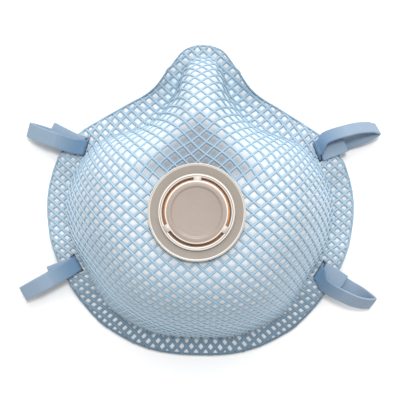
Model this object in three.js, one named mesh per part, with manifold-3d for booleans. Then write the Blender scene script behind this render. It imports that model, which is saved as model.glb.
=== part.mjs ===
// Disposable dust mask with an exhalation valve and two head straps.
// Millimetres, +Z out through the valve, +Y towards the nose, +X to the right seen from the front.
// The mask lies on its rim, open side down: z = 0 is the surface under it.

import * as THREE from 'three';
import { mergeVertices } from 'three/addons/utils/BufferGeometryUtils.js';
import Module from 'manifold-3d';

const wasm = await Module();
wasm.setup();

// ---- Driving dimensions -------------------------------------------------------------------

const GAP = 0.3;                // clearance between neighbouring pieces
const SEAT_HEIGHT = 46;         // front face of the net under the valve
const SEAT_RADIUS = 21;         // flat round pad that the valve sits on
const VALVE_Y = -5.4;           // valve centre, a little below the middle of the mask
const NET = 0.9;                // thickness of the outer netting
const FILTER = 1.2;             // thickness of the filter web
const LINING = 0.5;             // thickness of the inner lining
const LAMINATE = NET + GAP + FILTER + GAP + LINING;
const WALL_STEEPNESS = 0.9;     // 0 gives a parabola, 1 a full quarter ellipse
const FILLET = 0.8;             // softness of the corner between wall and flange
const CORNER_RAISE = 2.2;       // the flange lifts here so that the straps pass under it
const CORNER_PAD = 9;           // radius of the raised pad round a slit, and the width of its slope
const NOSE_RAISE = 8;           // the flange lifts over the bridge of the nose
const NOSE_SLOPE = [38, 62];    // from where to where it lifts, in y
const NECK = { x: 22, y: 38, radius: 14 };   // beside the nose the flange sweeps up into the wall
const NECK_SWEEP = 6;           // how high it has risen at the foot of the wall
const NECK_FLAT = 0.55;         // part of the flange's width that sweeps up
const STEPS_PER_SPAN = 2;       // facets between two outline points

const NECK_RADIUS = 15;         // valve neck through the laminate
const HOLE_RADIUS = NECK_RADIUS + GAP;
const VALVE_RADIUS = 19.5;
const ROUND_SEGMENTS = 48;

const STRAP_WIDTH = 6.6;
const STRAP = 0.9;              // strap thickness
const SLIT_LENGTH = 9;
const SLIT_IN = -1.35;          // the slit's inboard and outboard sides, from its centre line
const SLIT_OUT = 1.45;
const INNER_LAYER = -0.6;       // strap layer that leads to the run behind the mask
const OUTER_LAYER = 0.6;        // strap layer that leads to the sewn end
const HOOK_REACH = 10.5;        // the wrap ends past the flange's edge
const TAB_REACH = 11.3;         // the cut end lies on the front of the flange
const RETURN_START = HOOK_REACH + GAP;

const COLOURS = {
  net: [0x9fc3e0, 0.5], filter: [0xf2f4f4, 0.95], lining: [0xf7f8f8, 0.95], foam: [0x9aa3ab, 0.95],
  valve: [0xd6c6b6, 0.45], cover: [0xdccabb, 0.4], flap: [0xb9783e, 0.4], strap: [0x86a9c9, 0.85],
};

// Outline points of the right half, nose to chin: the outer rim, and the foot of the dome.
const RIM = [[0, 67.8], [8, 65.8], [15, 57.6], [22, 49.1], [34, 41.8], [50, 31.8], [61, 21.6], [67.2, 4.6],
  [66.2, -15.9], [58, -35.6], [44, -53.4], [23, -65], [0, -67.8]];
const FOOT = [[0, 63.1], [5.2, 61.6], [9.2, 55.6], [13, 45.1], [24, 33], [43, 26.6], [53, 16.1], [58.6, 1.6],
  [56.8, -15.4], [48.5, -32], [38.4, -47.4], [20, -57.7], [0, -59.9]];

// Strap corners: slit centre, outward direction in degrees, reach of the loop, and how far it bulges.
const CORNERS = {
  upper_left: { x: -51.5, y: 22.7, angle: 180 - 15.5, reach: 26.2, bulge: 3 },
  upper_right: { x: 51.5, y: 22.7, angle: 23, reach: 28, bulge: 5 },
  lower_left: { x: -53.5, y: -28.9, angle: 180 + 31, reach: 27.3, bulge: 2.5 },
  lower_right: { x: 53.5, y: -28.9, angle: -31, reach: 27.2, bulge: 5.5 },
};

const mask = new THREE.Group();

// ---- Helpers --------------------------------------------------------------------------------

function addMesh(name, geometry, [color, roughness]) {
  const mesh = new THREE.Mesh(geometry, new THREE.MeshStandardMaterial({ color, roughness, metalness: 0 }));
  mesh.name = name;
  mask.add(mesh);
  return mesh;
}

function toSolid(geometry, matrix = new THREE.Matrix4()) {
  const bare = geometry.clone().applyMatrix4(matrix);
  for (const attribute of ['normal', 'uv']) bare.deleteAttribute(attribute);
  const merged = mergeVertices(bare, 1e-4);
  const triVerts = merged.index
    ? new Uint32Array(merged.index.array)
    : Uint32Array.from({ length: merged.attributes.position.count }, (_, i) => i);
  const vertProperties = new Float32Array(merged.attributes.position.array);
  return new wasm.Manifold(new wasm.Mesh({ numProp: 3, vertProperties, triVerts }));
}

function toGeometry(solid) {
  const { vertProperties, triVerts } = solid.getMesh();
  const geometry = new THREE.BufferGeometry();
  geometry.setAttribute('position', new THREE.BufferAttribute(new Float32Array(vertProperties), 3));
  geometry.setIndex(new THREE.BufferAttribute(new Uint32Array(triVerts), 1));
  geometry.computeVertexNormals();
  return geometry;
}

const smooth = (t) => {
  const c = Math.min(1, Math.max(0, t));
  return c * c * (3 - 2 * c);
};

function closedOutline(rightHalf) {
  const left = rightHalf.slice(1, -1).reverse().map(([x, y]) => [-x, y]);
  const points = [...rightHalf, ...left].map(([x, y]) => new THREE.Vector3(x, y, 0));
  return new THREE.CatmullRomCurve3(points, true, 'centripetal');
}

// ---- The cup: one base surface that every layer is offset from --------------------------------

const rimCurve = closedOutline(RIM);
const footCurve = closedOutline(FOOT);
const SPANS = 2 * (RIM.length - 1);
const AROUND = SPANS * STEPS_PER_SPAN;

function flangeHeight(foot) {
  const [from, to] = NOSE_SLOPE;
  let height = LAMINATE + NOSE_RAISE * smooth((foot.y - from) / (to - from));
  for (const { x, y } of Object.values(CORNERS)) {
    height += CORNER_RAISE * smooth(2 - Math.hypot(foot.x - x, foot.y - y) / CORNER_PAD);
  }
  return height;
}

// Rise of the flange towards the wall beside the nose; s runs from 1 at the foot to 2 at the rim.
function neckRise(foot, s) {
  const share = smooth(1.6 - Math.hypot(Math.abs(foot.x) - NECK.x, foot.y - NECK.y) / NECK.radius);
  const left = 1 - Math.min(1, Math.max(0, (s - 1) / NECK_FLAT));
  return NECK_SWEEP * share * left ** 2;
}

// turn runs once round the mask from the nose; s is 0 at the seat's edge, 1 at the foot of the dome and
// 2 at the rim, and below 0 it runs into the flat seat, to -1 at the valve hole.
function basePoint(turn, s) {
  const t = ((turn % 1) + 1) % 1;
  const foot = footCurve.getPoint(t);
  const rim = rimCurve.getPoint(t);
  const bearing = Math.atan2(foot.y - VALVE_Y, foot.x);
  const radius = SEAT_RADIUS + Math.min(0, s) * (SEAT_RADIUS - HOLE_RADIUS);
  const seat = new THREE.Vector3(radius * Math.cos(bearing), VALVE_Y + radius * Math.sin(bearing), 0);
  const flange = flangeHeight(foot) + neckRise(foot, s);
  const point = s < 1 ? seat.lerp(foot, Math.max(0, s)) : foot.clone().lerp(rim, s - 1);
  const inside = 1 - WALL_STEEPNESS * Math.max(0, s) ** 2;
  const fall = inside > 0 ? (1 - Math.sqrt(inside)) / (1 - Math.sqrt(1 - WALL_STEEPNESS)) : Infinity;
  const above = (SEAT_HEIGHT - flange) * (1 - fall);
  point.z = flange + (above > 20 * FILLET ? above : FILLET * Math.log1p(Math.exp(above / FILLET)));
  return point;
}

function baseNormal(turn, s) {
  const [turnStep, sStep] = [0.001, 0.004];      // small enough to follow the soft corner
  const around = basePoint(turn + turnStep, s).sub(basePoint(turn - turnStep, s));
  const outwards = basePoint(turn, s + sStep).sub(basePoint(turn, s - sStep));
  return outwards.cross(around).normalize().multiplyScalar(-1);
}

// Rings of facets, closer together where the wall turns into the flange.
const RINGS = [-1, 0, 0.22, 0.42, 0.58, 0.72, 0.83, 0.91, 0.965, 1.0, 1.1, 1.3, 1.55, 2];

// The base surface sunk by a depth along its normal.
const at = (depth) => (turn, s) => basePoint(turn, s).addScaledVector(baseNormal(turn, s), -depth);

// A closed sheet between two faces, each a function of turn and s.
function sheet(turns, rings, top, bottom, wraps) {
  const positions = [];
  const index = [];
  for (const face of [top, bottom]) {
    for (const turn of turns) {
      for (const s of rings) positions.push(...face(turn, s).toArray());
    }
  }
  const [count, across] = [turns.length, rings.length];
  const id = (side, i, j) => (side * count + (i % count)) * across + j;
  const quad = (a, b, c, d) => index.push(a, b, c, a, c, d);
  const last = wraps ? count : count - 1;
  for (let i = 0; i < last; i += 1) {
    for (let j = 0; j < across - 1; j += 1) {
      quad(id(0, i, j), id(0, i + 1, j), id(0, i + 1, j + 1), id(0, i, j + 1));
      quad(id(1, i, j), id(1, i, j + 1), id(1, i + 1, j + 1), id(1, i + 1, j));
    }
    quad(id(0, i, 0), id(1, i, 0), id(1, i + 1, 0), id(0, i + 1, 0));
    quad(id(0, i, across - 1), id(0, i + 1, across - 1), id(1, i + 1, across - 1), id(1, i, across - 1));
  }
  if (!wraps) {
    for (let j = 0; j < across - 1; j += 1) {
      quad(id(0, 0, j), id(0, 0, j + 1), id(1, 0, j + 1), id(1, 0, j));
      quad(id(0, last, j), id(1, last, j), id(1, last, j + 1), id(0, last, j + 1));
    }
  }
  const geometry = new THREE.BufferGeometry();
  geometry.setAttribute('position', new THREE.BufferAttribute(new Float32Array(positions), 3));
  geometry.setIndex(index);
  geometry.computeVertexNormals();
  return geometry;
}

// ---- Strap corners ------------------------------------------------------------------------------

const cornerFlange = LAMINATE + CORNER_RAISE;    // front face of the flange at every slit

// Local axes at a slit: x outward along the strap, y up, z along the slit.
function cornerMatrix({ x, y, angle }) {
  const a = THREE.MathUtils.degToRad(angle);
  const out = new THREE.Vector3(Math.cos(a), Math.sin(a), 0);
  const up = new THREE.Vector3(0, 0, 1);
  const along = out.clone().cross(up);
  return new THREE.Matrix4().makeBasis(out, up, along).setPosition(x, y, cornerFlange);
}

function slitCutter(corner) {
  const box = new THREE.BoxGeometry(SLIT_OUT - SLIT_IN, 4 * LAMINATE, SLIT_LENGTH);
  box.translate((SLIT_OUT + SLIT_IN) / 2, 0, 0);
  return toSolid(box, cornerMatrix(corner));
}

// The outline of a flat band of the given thickness that follows a path in the x-y plane.
function bandShape(path, thickness) {
  const sides = path.map((point, i) => {
    const before = path[Math.max(0, i - 1)];
    const after = path[Math.min(path.length - 1, i + 1)];
    const direction = after.clone().sub(before).normalize();
    const normal = new THREE.Vector2(-direction.y, direction.x);
    return [point.clone().addScaledVector(normal, thickness / 2),
      point.clone().addScaledVector(normal, -thickness / 2)];
  });
  return new THREE.Shape([...sides.map(([a]) => a), ...sides.map(([, b]) => b).reverse()]);
}

const spline = (points, count) => new THREE.SplineCurve(points.map(([x, y]) => new THREE.Vector2(x, y)))
  .getPoints(count);

function arc(x, y, radius, from, to, count) {
  return Array.from({ length: count }, (_, i) => {
    const a = THREE.MathUtils.degToRad(from + (to - from) * i / (count - 1));
    return new THREE.Vector2(x + radius * Math.cos(a), y + radius * Math.sin(a));
  });
}

const TAB_HEIGHT = GAP + STRAP / 2;                       // heights above the flange's front face
const FRONT_HEIGHT = TAB_HEIGHT + STRAP + GAP;
const BACK_HEIGHT = -LAMINATE - GAP - STRAP / 2;

function addAlongSlit(name, shape, corner, colour) {
  const geometry = new THREE.ExtrudeGeometry(shape, { depth: STRAP_WIDTH, bevelEnabled: false });
  geometry.translate(0, 0, -STRAP_WIDTH / 2);
  addMesh(name, geometry, colour).applyMatrix4(cornerMatrix(corner));
}

// The cut end on the front, round the flange through the slit and out again behind it.
function addStrapEnd(name, corner) {
  const bend = 0.5;
  const path = [new THREE.Vector2(TAB_REACH, TAB_HEIGHT),
    ...arc(OUTER_LAYER + bend, TAB_HEIGHT - bend, bend, 90, 180, 4),
    ...arc(OUTER_LAYER + bend, BACK_HEIGHT + bend, bend, 180, 270, 4),
    new THREE.Vector2(HOOK_REACH, BACK_HEIGHT)];
  addAlongSlit(`strap_end_${name}`, bandShape(path, STRAP), corner, COLOURS.strap);
}

// The loop beside the mask: out over the front, a sharp fold, and back to the flange's edge.
function addStrapLoop(name, corner) {
  const fold = 0.75;              // radius of the fold's centre line
  const foldHeight = -1.2;        // below the flange's front face
  const { reach, bulge } = corner;
  const centre = reach - fold - STRAP / 2;
  const front = spline([[INNER_LAYER - STRAP / 2, FRONT_HEIGHT], [6, FRONT_HEIGHT + 0.1],
    [15, FRONT_HEIGHT + bulge * 0.55], [22, foldHeight + 0.6 + bulge * 0.5],
    [centre, foldHeight + fold]], 12);
  const back = spline([[centre, foldHeight - fold], [20, foldHeight - 1.6], [RETURN_START, BACK_HEIGHT]], 6);
  const path = [...front.slice(0, -1), ...arc(centre, foldHeight, fold, 80, -80, 5), ...back.slice(1)];
  addAlongSlit(`strap_loop_${name}`, bandShape(path, STRAP), corner, COLOURS.strap);
}

// The run behind the mask, from slit to slit, with a short leg up into each slit.
function addStrapRun(name, left, right) {
  const [start, end] = [left, right].map((corner) => {
    const turn = THREE.MathUtils.degToRad(corner.angle);
    const out = new THREE.Vector2(Math.cos(turn), Math.sin(turn));
    const edge = new THREE.Vector2(corner.x, corner.y).addScaledVector(out, INNER_LAYER + STRAP / 2);
    return { out, edge };
  });
  const lean = Math.abs(end.edge.x - start.edge.x) * 0.42;     // how far it keeps the slits' directions
  const curve = new THREE.CubicBezierCurve(start.edge, start.edge.clone().addScaledVector(start.out, -lean),
    end.edge.clone().addScaledVector(end.out, -lean), end.edge);
  const flat = new THREE.ExtrudeGeometry(bandShape(curve.getPoints(14), STRAP_WIDTH),
    { depth: STRAP, bevelEnabled: false });
  flat.translate(0, 0, cornerFlange + BACK_HEIGHT - STRAP / 2);
  let solid = toSolid(flat);
  const [low, high] = [BACK_HEIGHT - STRAP / 2, FRONT_HEIGHT - STRAP / 2 - GAP];
  for (const corner of [left, right]) {
    const leg = new THREE.BoxGeometry(STRAP, high - low, STRAP_WIDTH);
    leg.translate(INNER_LAYER, (high + low) / 2, 0);
    solid = solid.add(toSolid(leg, cornerMatrix(corner)));
  }
  addMesh(`${name}_strap_run`, toGeometry(solid), COLOURS.strap);
}

// ---- Valve ----------------------------------------------------------------------------------------

// Heights are above the seat's front face.
const SEAT_PLATE = [GAP, GAP + 2.2];
const FLAP = [GAP + 1.0, GAP + 1.6];
const FLAP_RADIUS = 12.2;
const FLAP_TRAVEL = 0.8;
const FLAP_HOLE = 1.2;
const LEDGE = FLAP[0] - GAP;                   // the flap seals on this ledge
const PIN = [0.9, FLAP[1] + 0.5];              // radius and top of the pin that guides the flap
const NECK_LOW = -LAMINATE - 2.4;
const SPIDER_LOW = -1.6;                       // underside of the hub and its spokes
const COVER_LOW = FLAP[1] + FLAP_TRAVEL + 0.1;
const COVER_HIGH = 4.4;
const COVER_RADIUS = 12.6;
const DISH_RADIUS = 9.8;                       // the cover's middle is a shallow dish
const COVER_RING = [13.6, 15.3];               // inner and outer radius of the ring round the cover
const BRIDGE_ANGLES = [90, 210, 330];
const SPOKE_ANGLES = [30, 150, 270];
const CLAMP_RADIUS = 18.9;
const CLAMP_HEIGHT = 1.6;

function ringSolid(profile) {
  const points = profile.map(([r, z]) => new THREE.Vector2(r, z));
  const lathe = new THREE.LatheGeometry([...points, points[0]], ROUND_SEGMENTS);
  return toSolid(lathe, new THREE.Matrix4().makeRotationX(Math.PI / 2));
}

function spokes(angles, width, from, to, low, high) {
  return angles.map((angle) => {
    const bar = new THREE.BoxGeometry(to - from, width, high - low);
    bar.translate((from + to) / 2, 0, (low + high) / 2);
    return toSolid(bar, new THREE.Matrix4().makeRotationZ(THREE.MathUtils.degToRad(angle)));
  });
}

const union = (solids) => solids.reduce((whole, solid) => whole.add(solid));

function addValvePart(name, solid, colour) {
  addMesh(name, toGeometry(solid), colour).position.set(0, VALVE_Y, SEAT_HEIGHT);
}

function addValve() {
  // Clamping plate, neck and sealing ledge in one profile; spokes carry a hub with the flap's pin.
  const [plateLow, plateHigh] = SEAT_PLATE;
  const body = ringSolid([[14, plateHigh], [14, 0.2], [12.4, 0.2], [12.4, LEDGE], [11.2, LEDGE],
    [10.4, LEDGE - 0.6], [10.4, SPIDER_LOW], [13, SPIDER_LOW], [13, NECK_LOW], [NECK_RADIUS, NECK_LOW],
    [NECK_RADIUS, plateLow], [VALVE_RADIUS, plateLow], [VALVE_RADIUS, plateHigh - 0.5],
    [VALVE_RADIUS - 0.5, plateHigh]]);
  const [pinRadius, pinTop] = PIN;
  const hub = ringSolid([[0, SPIDER_LOW], [2.4, SPIDER_LOW], [2.4, LEDGE], [pinRadius, LEDGE],
    [pinRadius, pinTop], [0, pinTop]]);
  const spider = spokes(SPOKE_ANGLES, 1.6, 1.5, 11, SPIDER_LOW, 0);
  addValvePart('valve_seat', union([body, hub, ...spider]), COLOURS.valve);

  const [flapLow, flapHigh] = FLAP;
  const flap = ringSolid([[FLAP_HOLE, flapLow], [FLAP_RADIUS, flapLow], [FLAP_RADIUS, flapHigh],
    [FLAP_HOLE, flapHigh]]);
  addValvePart('valve_flap', flap, COLOURS.flap);

  const bevel = 0.4;
  const dish = 0.5;
  const disc = ringSolid([[0, COVER_LOW], [COVER_RADIUS, COVER_LOW], [COVER_RADIUS, COVER_HIGH - bevel],
    [COVER_RADIUS - bevel, COVER_HIGH], [DISH_RADIUS + bevel, COVER_HIGH], [DISH_RADIUS, COVER_HIGH - dish],
    [0, COVER_HIGH - dish]]);
  const [ringIn, ringOut] = COVER_RING;
  const ring = ringSolid([[ringIn, COVER_LOW], [ringOut, COVER_LOW], [ringOut, 3.4], [ringOut - 0.5, 3.9],
    [ringIn, 3.7]]);
  const bridges = spokes(BRIDGE_ANGLES, 3.5, COVER_RADIUS - 0.8, ringIn + 0.8, COVER_LOW, 3.8);
  addValvePart('valve_cover', union([disc, ring, ...bridges]), COLOURS.cover);

  // Clamping ring pressed on the neck behind the laminate.
  const top = -LAMINATE - GAP;
  const clamp = ringSolid([[HOLE_RADIUS, top - CLAMP_HEIGHT], [CLAMP_RADIUS - bevel, top - CLAMP_HEIGHT],
    [CLAMP_RADIUS, top - CLAMP_HEIGHT + bevel], [CLAMP_RADIUS, top], [HOLE_RADIUS, top]]);
  addValvePart('valve_clamp_ring', clamp, COLOURS.valve);
}

// ---- Assembly ---------------------------------------------------------------------------------------

function addCup() {
  const turns = Array.from({ length: AROUND }, (_, i) => i / AROUND);
  const cutters = Object.values(CORNERS).map(slitCutter);
  const layers = [['outer_net_shell', NET, COLOURS.net], ['filter_layer', FILTER, COLOURS.filter],
    ['inner_lining', LINING, COLOURS.lining]];
  let depth = 0;
  for (const [name, thickness, colour] of layers) {
    let solid = toSolid(sheet(turns, RINGS, at(depth), at(depth + thickness), true));
    for (const cutter of cutters) solid = solid.subtract(cutter);
    addMesh(name, toGeometry(solid), colour);
    depth += thickness + GAP;
  }
}

// A soft foam strip bonded to the lining across the bridge of the nose.
function addNoseCushion() {
  const thickness = 2.4;
  const reach = 4 / SPANS;        // four outline points to each side of the nose
  const steps = 16;
  const rings = [0.46, 0.54, 0.62, 0.7];
  const steepest = 0.4;           // keeps the strip from growing long where the wall is steep
  const turns = Array.from({ length: steps + 1 }, (_, i) => reach * (2 * i / steps - 1));
  const top = at(LAMINATE + GAP);
  const bottom = (turn, s) => {
    const point = top(turn, s);
    point.z -= thickness / Math.max(steepest, baseNormal(turn, s).z);
    return point;
  };
  addMesh('nose_cushion', sheet(turns, rings, top, bottom, false), COLOURS.foam);
}

addCup();
addNoseCushion();
addValve();
for (const [name, corner] of Object.entries(CORNERS)) {
  addStrapEnd(name, corner);
  addStrapLoop(name, corner);
}
addStrapRun('upper', CORNERS.upper_left, CORNERS.upper_right);
addStrapRun('lower', CORNERS.lower_left, CORNERS.lower_right);

export default mask;
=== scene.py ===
# %% [markdown]
# # A disposable dust mask, part by part
# The mask is a moulded cup: an open diamond netting outside, a white filter web under it, a soft
# lining inside, a round breathing-out valve in front and two elastic straps threaded through slits.
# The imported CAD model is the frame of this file. It gives every place and every moving body, and the
# cells below build the visible surfaces around it, in metres, with +Z out through the valve.

# %% Load the frame
import math

import bmesh
import bpy
import numpy as np
from mathutils import Matrix, Vector


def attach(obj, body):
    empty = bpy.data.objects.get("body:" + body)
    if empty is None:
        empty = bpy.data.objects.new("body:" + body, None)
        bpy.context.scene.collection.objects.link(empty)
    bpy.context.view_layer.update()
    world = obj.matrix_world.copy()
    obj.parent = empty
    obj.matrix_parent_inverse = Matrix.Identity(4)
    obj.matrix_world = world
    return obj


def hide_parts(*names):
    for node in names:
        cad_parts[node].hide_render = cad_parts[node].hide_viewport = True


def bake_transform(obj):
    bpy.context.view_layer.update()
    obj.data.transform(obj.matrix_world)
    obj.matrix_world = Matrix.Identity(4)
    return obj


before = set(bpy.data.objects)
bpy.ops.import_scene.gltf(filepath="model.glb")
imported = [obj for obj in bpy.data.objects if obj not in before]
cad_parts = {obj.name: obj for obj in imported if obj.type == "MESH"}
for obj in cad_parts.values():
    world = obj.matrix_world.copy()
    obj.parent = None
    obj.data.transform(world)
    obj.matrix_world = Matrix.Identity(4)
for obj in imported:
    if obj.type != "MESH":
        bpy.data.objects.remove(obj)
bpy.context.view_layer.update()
MM = 0.001

# %% [markdown]
# The camera comes first, so that every later choice can be looked at from the right place. The mask
# lies on its rim and the camera hangs almost straight above it, a little to the right and towards the
# chin, close enough that the valve looks clearly larger than it would from far away. The camera is
# rolled by a degree and a half, because the mask doesn't lie quite square to it.

# %% Camera above the valve
CAMERA_HEIGHT = 0.450
CAMERA_ASIDE = (0.012, -0.010)
VIEW_WIDTH = 0.176             # width of the table that the camera takes in, at rim height
VIEW_CENTRE = (0.0, 0.0005, 0.003)
CAMERA_ROLL = math.radians(1.5)


def add_camera():
    data = bpy.data.cameras.new("camera")
    data.sensor_width = 36
    data.lens = data.sensor_width * CAMERA_HEIGHT / VIEW_WIDTH
    data.clip_start, data.clip_end = 0.05, 20
    camera = bpy.data.objects.new("camera", data)
    bpy.context.scene.collection.objects.link(camera)
    target = Vector(VIEW_CENTRE)
    camera.location = target + Vector((*CAMERA_ASIDE, CAMERA_HEIGHT))
    back = (camera.location - target).normalized()
    right = Vector((0, 1, 0)).cross(back).normalized()
    turn = Matrix((right, back.cross(right), back)).transposed().to_4x4()
    roll = Matrix.Rotation(CAMERA_ROLL, 4, "Z")
    camera.matrix_world = Matrix.Translation(camera.location) @ turn @ roll
    bpy.context.scene.camera = camera
    return camera


print("lens (mm):", round(add_camera().data.lens, 1))

# %% [markdown]
# A mask like this is shown on a plain white sweep. The floor is a large white plane, and the light is
# soft: a round lamp high above, a large soft window beyond the nose, and a white world that fills the
# shadows. Together they leave the chin side a little darker and lay a thin shadow there.

# %% Floor and studio light
FLOOR_SIZE, PAPER_WHITE, ROOM_LIGHT = 6.0, 0.88, 0.60
# Place, width and power of each round softbox; all point at the mask.
LAMPS = {"key_above": ((0.06, 0.42, 1.38), 0.35, 11), "window_beyond_nose": ((0.05, 1.25, 1.00), 1.40, 16)}


def add_floor():
    bpy.ops.mesh.primitive_plane_add(size=FLOOR_SIZE)
    floor = bpy.context.object
    floor.name = "floor"
    paper = bpy.data.materials.new("white_sweep")
    paper.use_nodes = True
    shader = paper.node_tree.nodes["Principled BSDF"]
    shader.inputs["Base Color"].default_value = (PAPER_WHITE, PAPER_WHITE, PAPER_WHITE, 1)
    shader.inputs["Roughness"].default_value = 0.9
    shader.inputs["Specular IOR Level"].default_value = 0.1
    floor.data.materials.append(paper)


def add_softbox(name, place, size, power):
    data = bpy.data.lights.new(name, "AREA")
    data.shape, data.size, data.energy = "DISK", size, power
    lamp = bpy.data.objects.new(name, data)
    bpy.context.scene.collection.objects.link(lamp)
    lamp.location = place
    lamp.rotation_euler = (-Vector(place)).to_track_quat("-Z", "Y").to_euler()


def add_light():
    world = bpy.data.worlds.new("white_room")
    world.use_nodes = True
    world.node_tree.nodes["Background"].inputs["Color"].default_value = (1, 1, 1, 1)
    world.node_tree.nodes["Background"].inputs["Strength"].default_value = ROOM_LIGHT
    bpy.context.scene.world = world
    bpy.context.scene.view_settings.view_transform = "Standard"
    for name, lamp in LAMPS.items():
        add_softbox(name, *lamp)


add_floor()
add_light()

# %% [markdown]
# ## The cup
# Pressing gives the cup two outlines that matter: the rim, where it is cut, and the foot, where the
# dome turns into the flange. They could be drawn as curve objects, but a curve as a function can be
# asked for any point, so each is a smooth closed curve through the few points that its shape needs.

# %% Outlines of the cup, in millimetres
RIM = [(0, 67.8), (8, 65.8), (15, 57.6), (22, 49.1), (34, 41.8), (50, 31.8), (61, 21.6), (67.2, 4.6),
       (66.2, -15.9), (58, -35.6), (44, -53.4), (23, -65), (0, -67.8)]
FOOT = [(0, 63.1), (5.2, 61.6), (9.2, 55.6), (13, 45.1), (24, 33), (43, 26.6), (53, 16.1), (58.6, 1.6),
        (56.8, -15.4), (48.5, -32), (38.4, -47.4), (20, -57.7), (0, -59.9)]


def closed_curve(right_half):
    """Centripetal Catmull-Rom curve through the points and their mirror images, as a function of 0..1."""
    left = [(-x, y) for x, y in right_half[-2:0:-1]]
    points = np.array([*right_half, *left], float)

    def curve(t):
        place = (np.asarray(t, float) % 1) * len(points)
        i = np.floor(place).astype(int)
        w = (place - i)[..., None]
        p = [points[(i + k) % len(points)] for k in (-1, 0, 1, 2)]
        d = [np.sum((b - a) ** 2, -1, keepdims=True) ** 0.25 for a, b in zip(p, p[1:])]
        t1 = ((p[1] - p[0]) / d[0] - (p[2] - p[0]) / (d[0] + d[1]) + (p[2] - p[1]) / d[1]) * d[1]
        t2 = ((p[2] - p[1]) / d[1] - (p[3] - p[1]) / (d[1] + d[2]) + (p[3] - p[2]) / d[2]) * d[1]
        c2 = -3 * p[1] + 3 * p[2] - 2 * t1 - t2
        c3 = 2 * p[1] - 2 * p[2] + t1 + t2
        return p[1] + w * (t1 + w * (c2 + w * c3))

    return curve


def travelled(points):
    """The distance from the first point of a path to each of its points."""
    return np.concatenate([[0], np.cumsum(np.linalg.norm(np.diff(points, axis=0), axis=1))])


rim_curve, foot_curve = closed_curve(RIM), closed_curve(FOOT)
print("rim length (mm):", round(travelled(rim_curve(np.linspace(0, 1, 721)))[-1]))

# %% [markdown]
# The cup is one smooth surface that all layers follow. Its dome falls like part of an ellipse from the
# flat seat of the valve, and a soft corner turns it into the flange, which rises at the nose and at the
# four strap corners. Writing it as a function of two numbers - how far round, and how far out - lets
# the net, the filter and the lining share it exactly.

# %% The cup as a function
SEAT_HEIGHT, SEAT_RADIUS, VALVE_Y = 46.0, 21.0, -5.4
NET, FILTER, LINING, GAP = 0.9, 1.2, 0.5, 0.3
LAMINATE = NET + FILTER + LINING + 2 * GAP
HOLE_RADIUS = 15.3
WALL_STEEPNESS, FILLET = 0.9, 0.8
CORNER_RAISE, CORNER_REACH = 2.2, 9.0
NOSE_RAISE, NOSE_START, NOSE_SPAN = 8.0, 38, 24
NECK_X, NECK_Y, NECK_REACH, NECK_SWEEP, NECK_FLAT = 22, 38, 14, 6, 0.55
# Slit centre x, y, outward direction in degrees, reach of the loop.
CORNERS = {
    "upper_left": (-51.5, 22.7, 180 - 15.5, 26.2),
    "upper_right": (51.5, 22.7, 23, 28.0),
    "lower_left": (-53.5, -28.9, 180 + 31, 27.3),
    "lower_right": (53.5, -28.9, -31, 27.2),
}


def smooth(t):
    t = np.clip(t, 0, 1)
    return t * t * (3 - 2 * t)


def flange_height(foot):
    height = LAMINATE + NOSE_RAISE * smooth((foot[..., 1] - NOSE_START) / NOSE_SPAN)
    for x, y, *_ in CORNERS.values():
        away = np.hypot(foot[..., 0] - x, foot[..., 1] - y)
        height = height + CORNER_RAISE * smooth(2 - away / CORNER_REACH)
    return height


def neck_rise(foot, s):
    """Beside the nose the flange sweeps up into the wall."""
    away = np.hypot(np.abs(foot[..., 0]) - NECK_X, foot[..., 1] - NECK_Y)
    left = 1 - np.clip((s - 1) / NECK_FLAT, 0, 1)
    return NECK_SWEEP * smooth(1.6 - away / NECK_REACH) * left ** 2


def cup(turn, s):
    """Front face of the cup: s is -1 at the valve hole, 0 at the seat's edge, 1 at the foot, 2 at the rim."""
    turn, s = np.broadcast_arrays(np.asarray(turn, float), np.asarray(s, float))
    foot, rim = foot_curve(turn), rim_curve(turn)
    bearing = np.arctan2(foot[..., 1] - VALVE_Y, foot[..., 0])
    radius = SEAT_RADIUS + np.minimum(0, s) * (SEAT_RADIUS - HOLE_RADIUS)
    seat = np.stack([radius * np.cos(bearing), VALVE_Y + radius * np.sin(bearing)], -1)
    inner, outer = np.clip(s, 0, 1)[..., None], np.clip(s - 1, 0, 1)[..., None]
    plan = seat + (foot - seat) * inner + (rim - foot) * outer
    inside = np.maximum(1e-9, 1 - WALL_STEEPNESS * np.maximum(0, s) ** 2)
    fall = (1 - np.sqrt(inside)) / (1 - math.sqrt(1 - WALL_STEEPNESS))
    flange = flange_height(foot) + neck_rise(foot, s)
    above = np.where(s < 1.05, (SEAT_HEIGHT - flange) * (1 - fall), -50)
    height = flange + FILLET * np.logaddexp(0, above / FILLET)
    return np.concatenate([plan, height[..., None]], -1)


def outward(turn, s):
    around = cup(turn + 1e-3, s) - cup(turn - 1e-3, s)
    out = cup(turn, s + 0.004) - cup(turn, s - 0.004)
    normal = np.cross(around, out)
    return normal / np.linalg.norm(normal, axis=-1, keepdims=True)


print("seat and rim heights (mm):", [round(float(cup(0.0, s)[2]), 1) for s in (0, 2)])

# %% [markdown]
# ## Meshes from arrays
# The layers, the bead and the bands are all grids of points that a formula gives, so numpy makes them
# faster and more exactly than modelling by hand would. They are worked out in millimetres and turned
# into metres once, here. Every piece keeps its object at the origin, with its place in its mesh.

# %% Pieces from points
def new_piece(name, points, faces, smooth_faces=True):
    mesh = bpy.data.meshes.new(name)
    mesh.from_pydata((np.asarray(points) * MM).tolist(), [], [list(f) for f in faces])
    mesh.validate()
    mesh.update()
    mesh.polygons.foreach_set("use_smooth", [smooth_faces] * len(mesh.polygons))
    piece = bpy.data.objects.new(name, mesh)
    bpy.context.scene.collection.objects.link(piece)
    return piece


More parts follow.
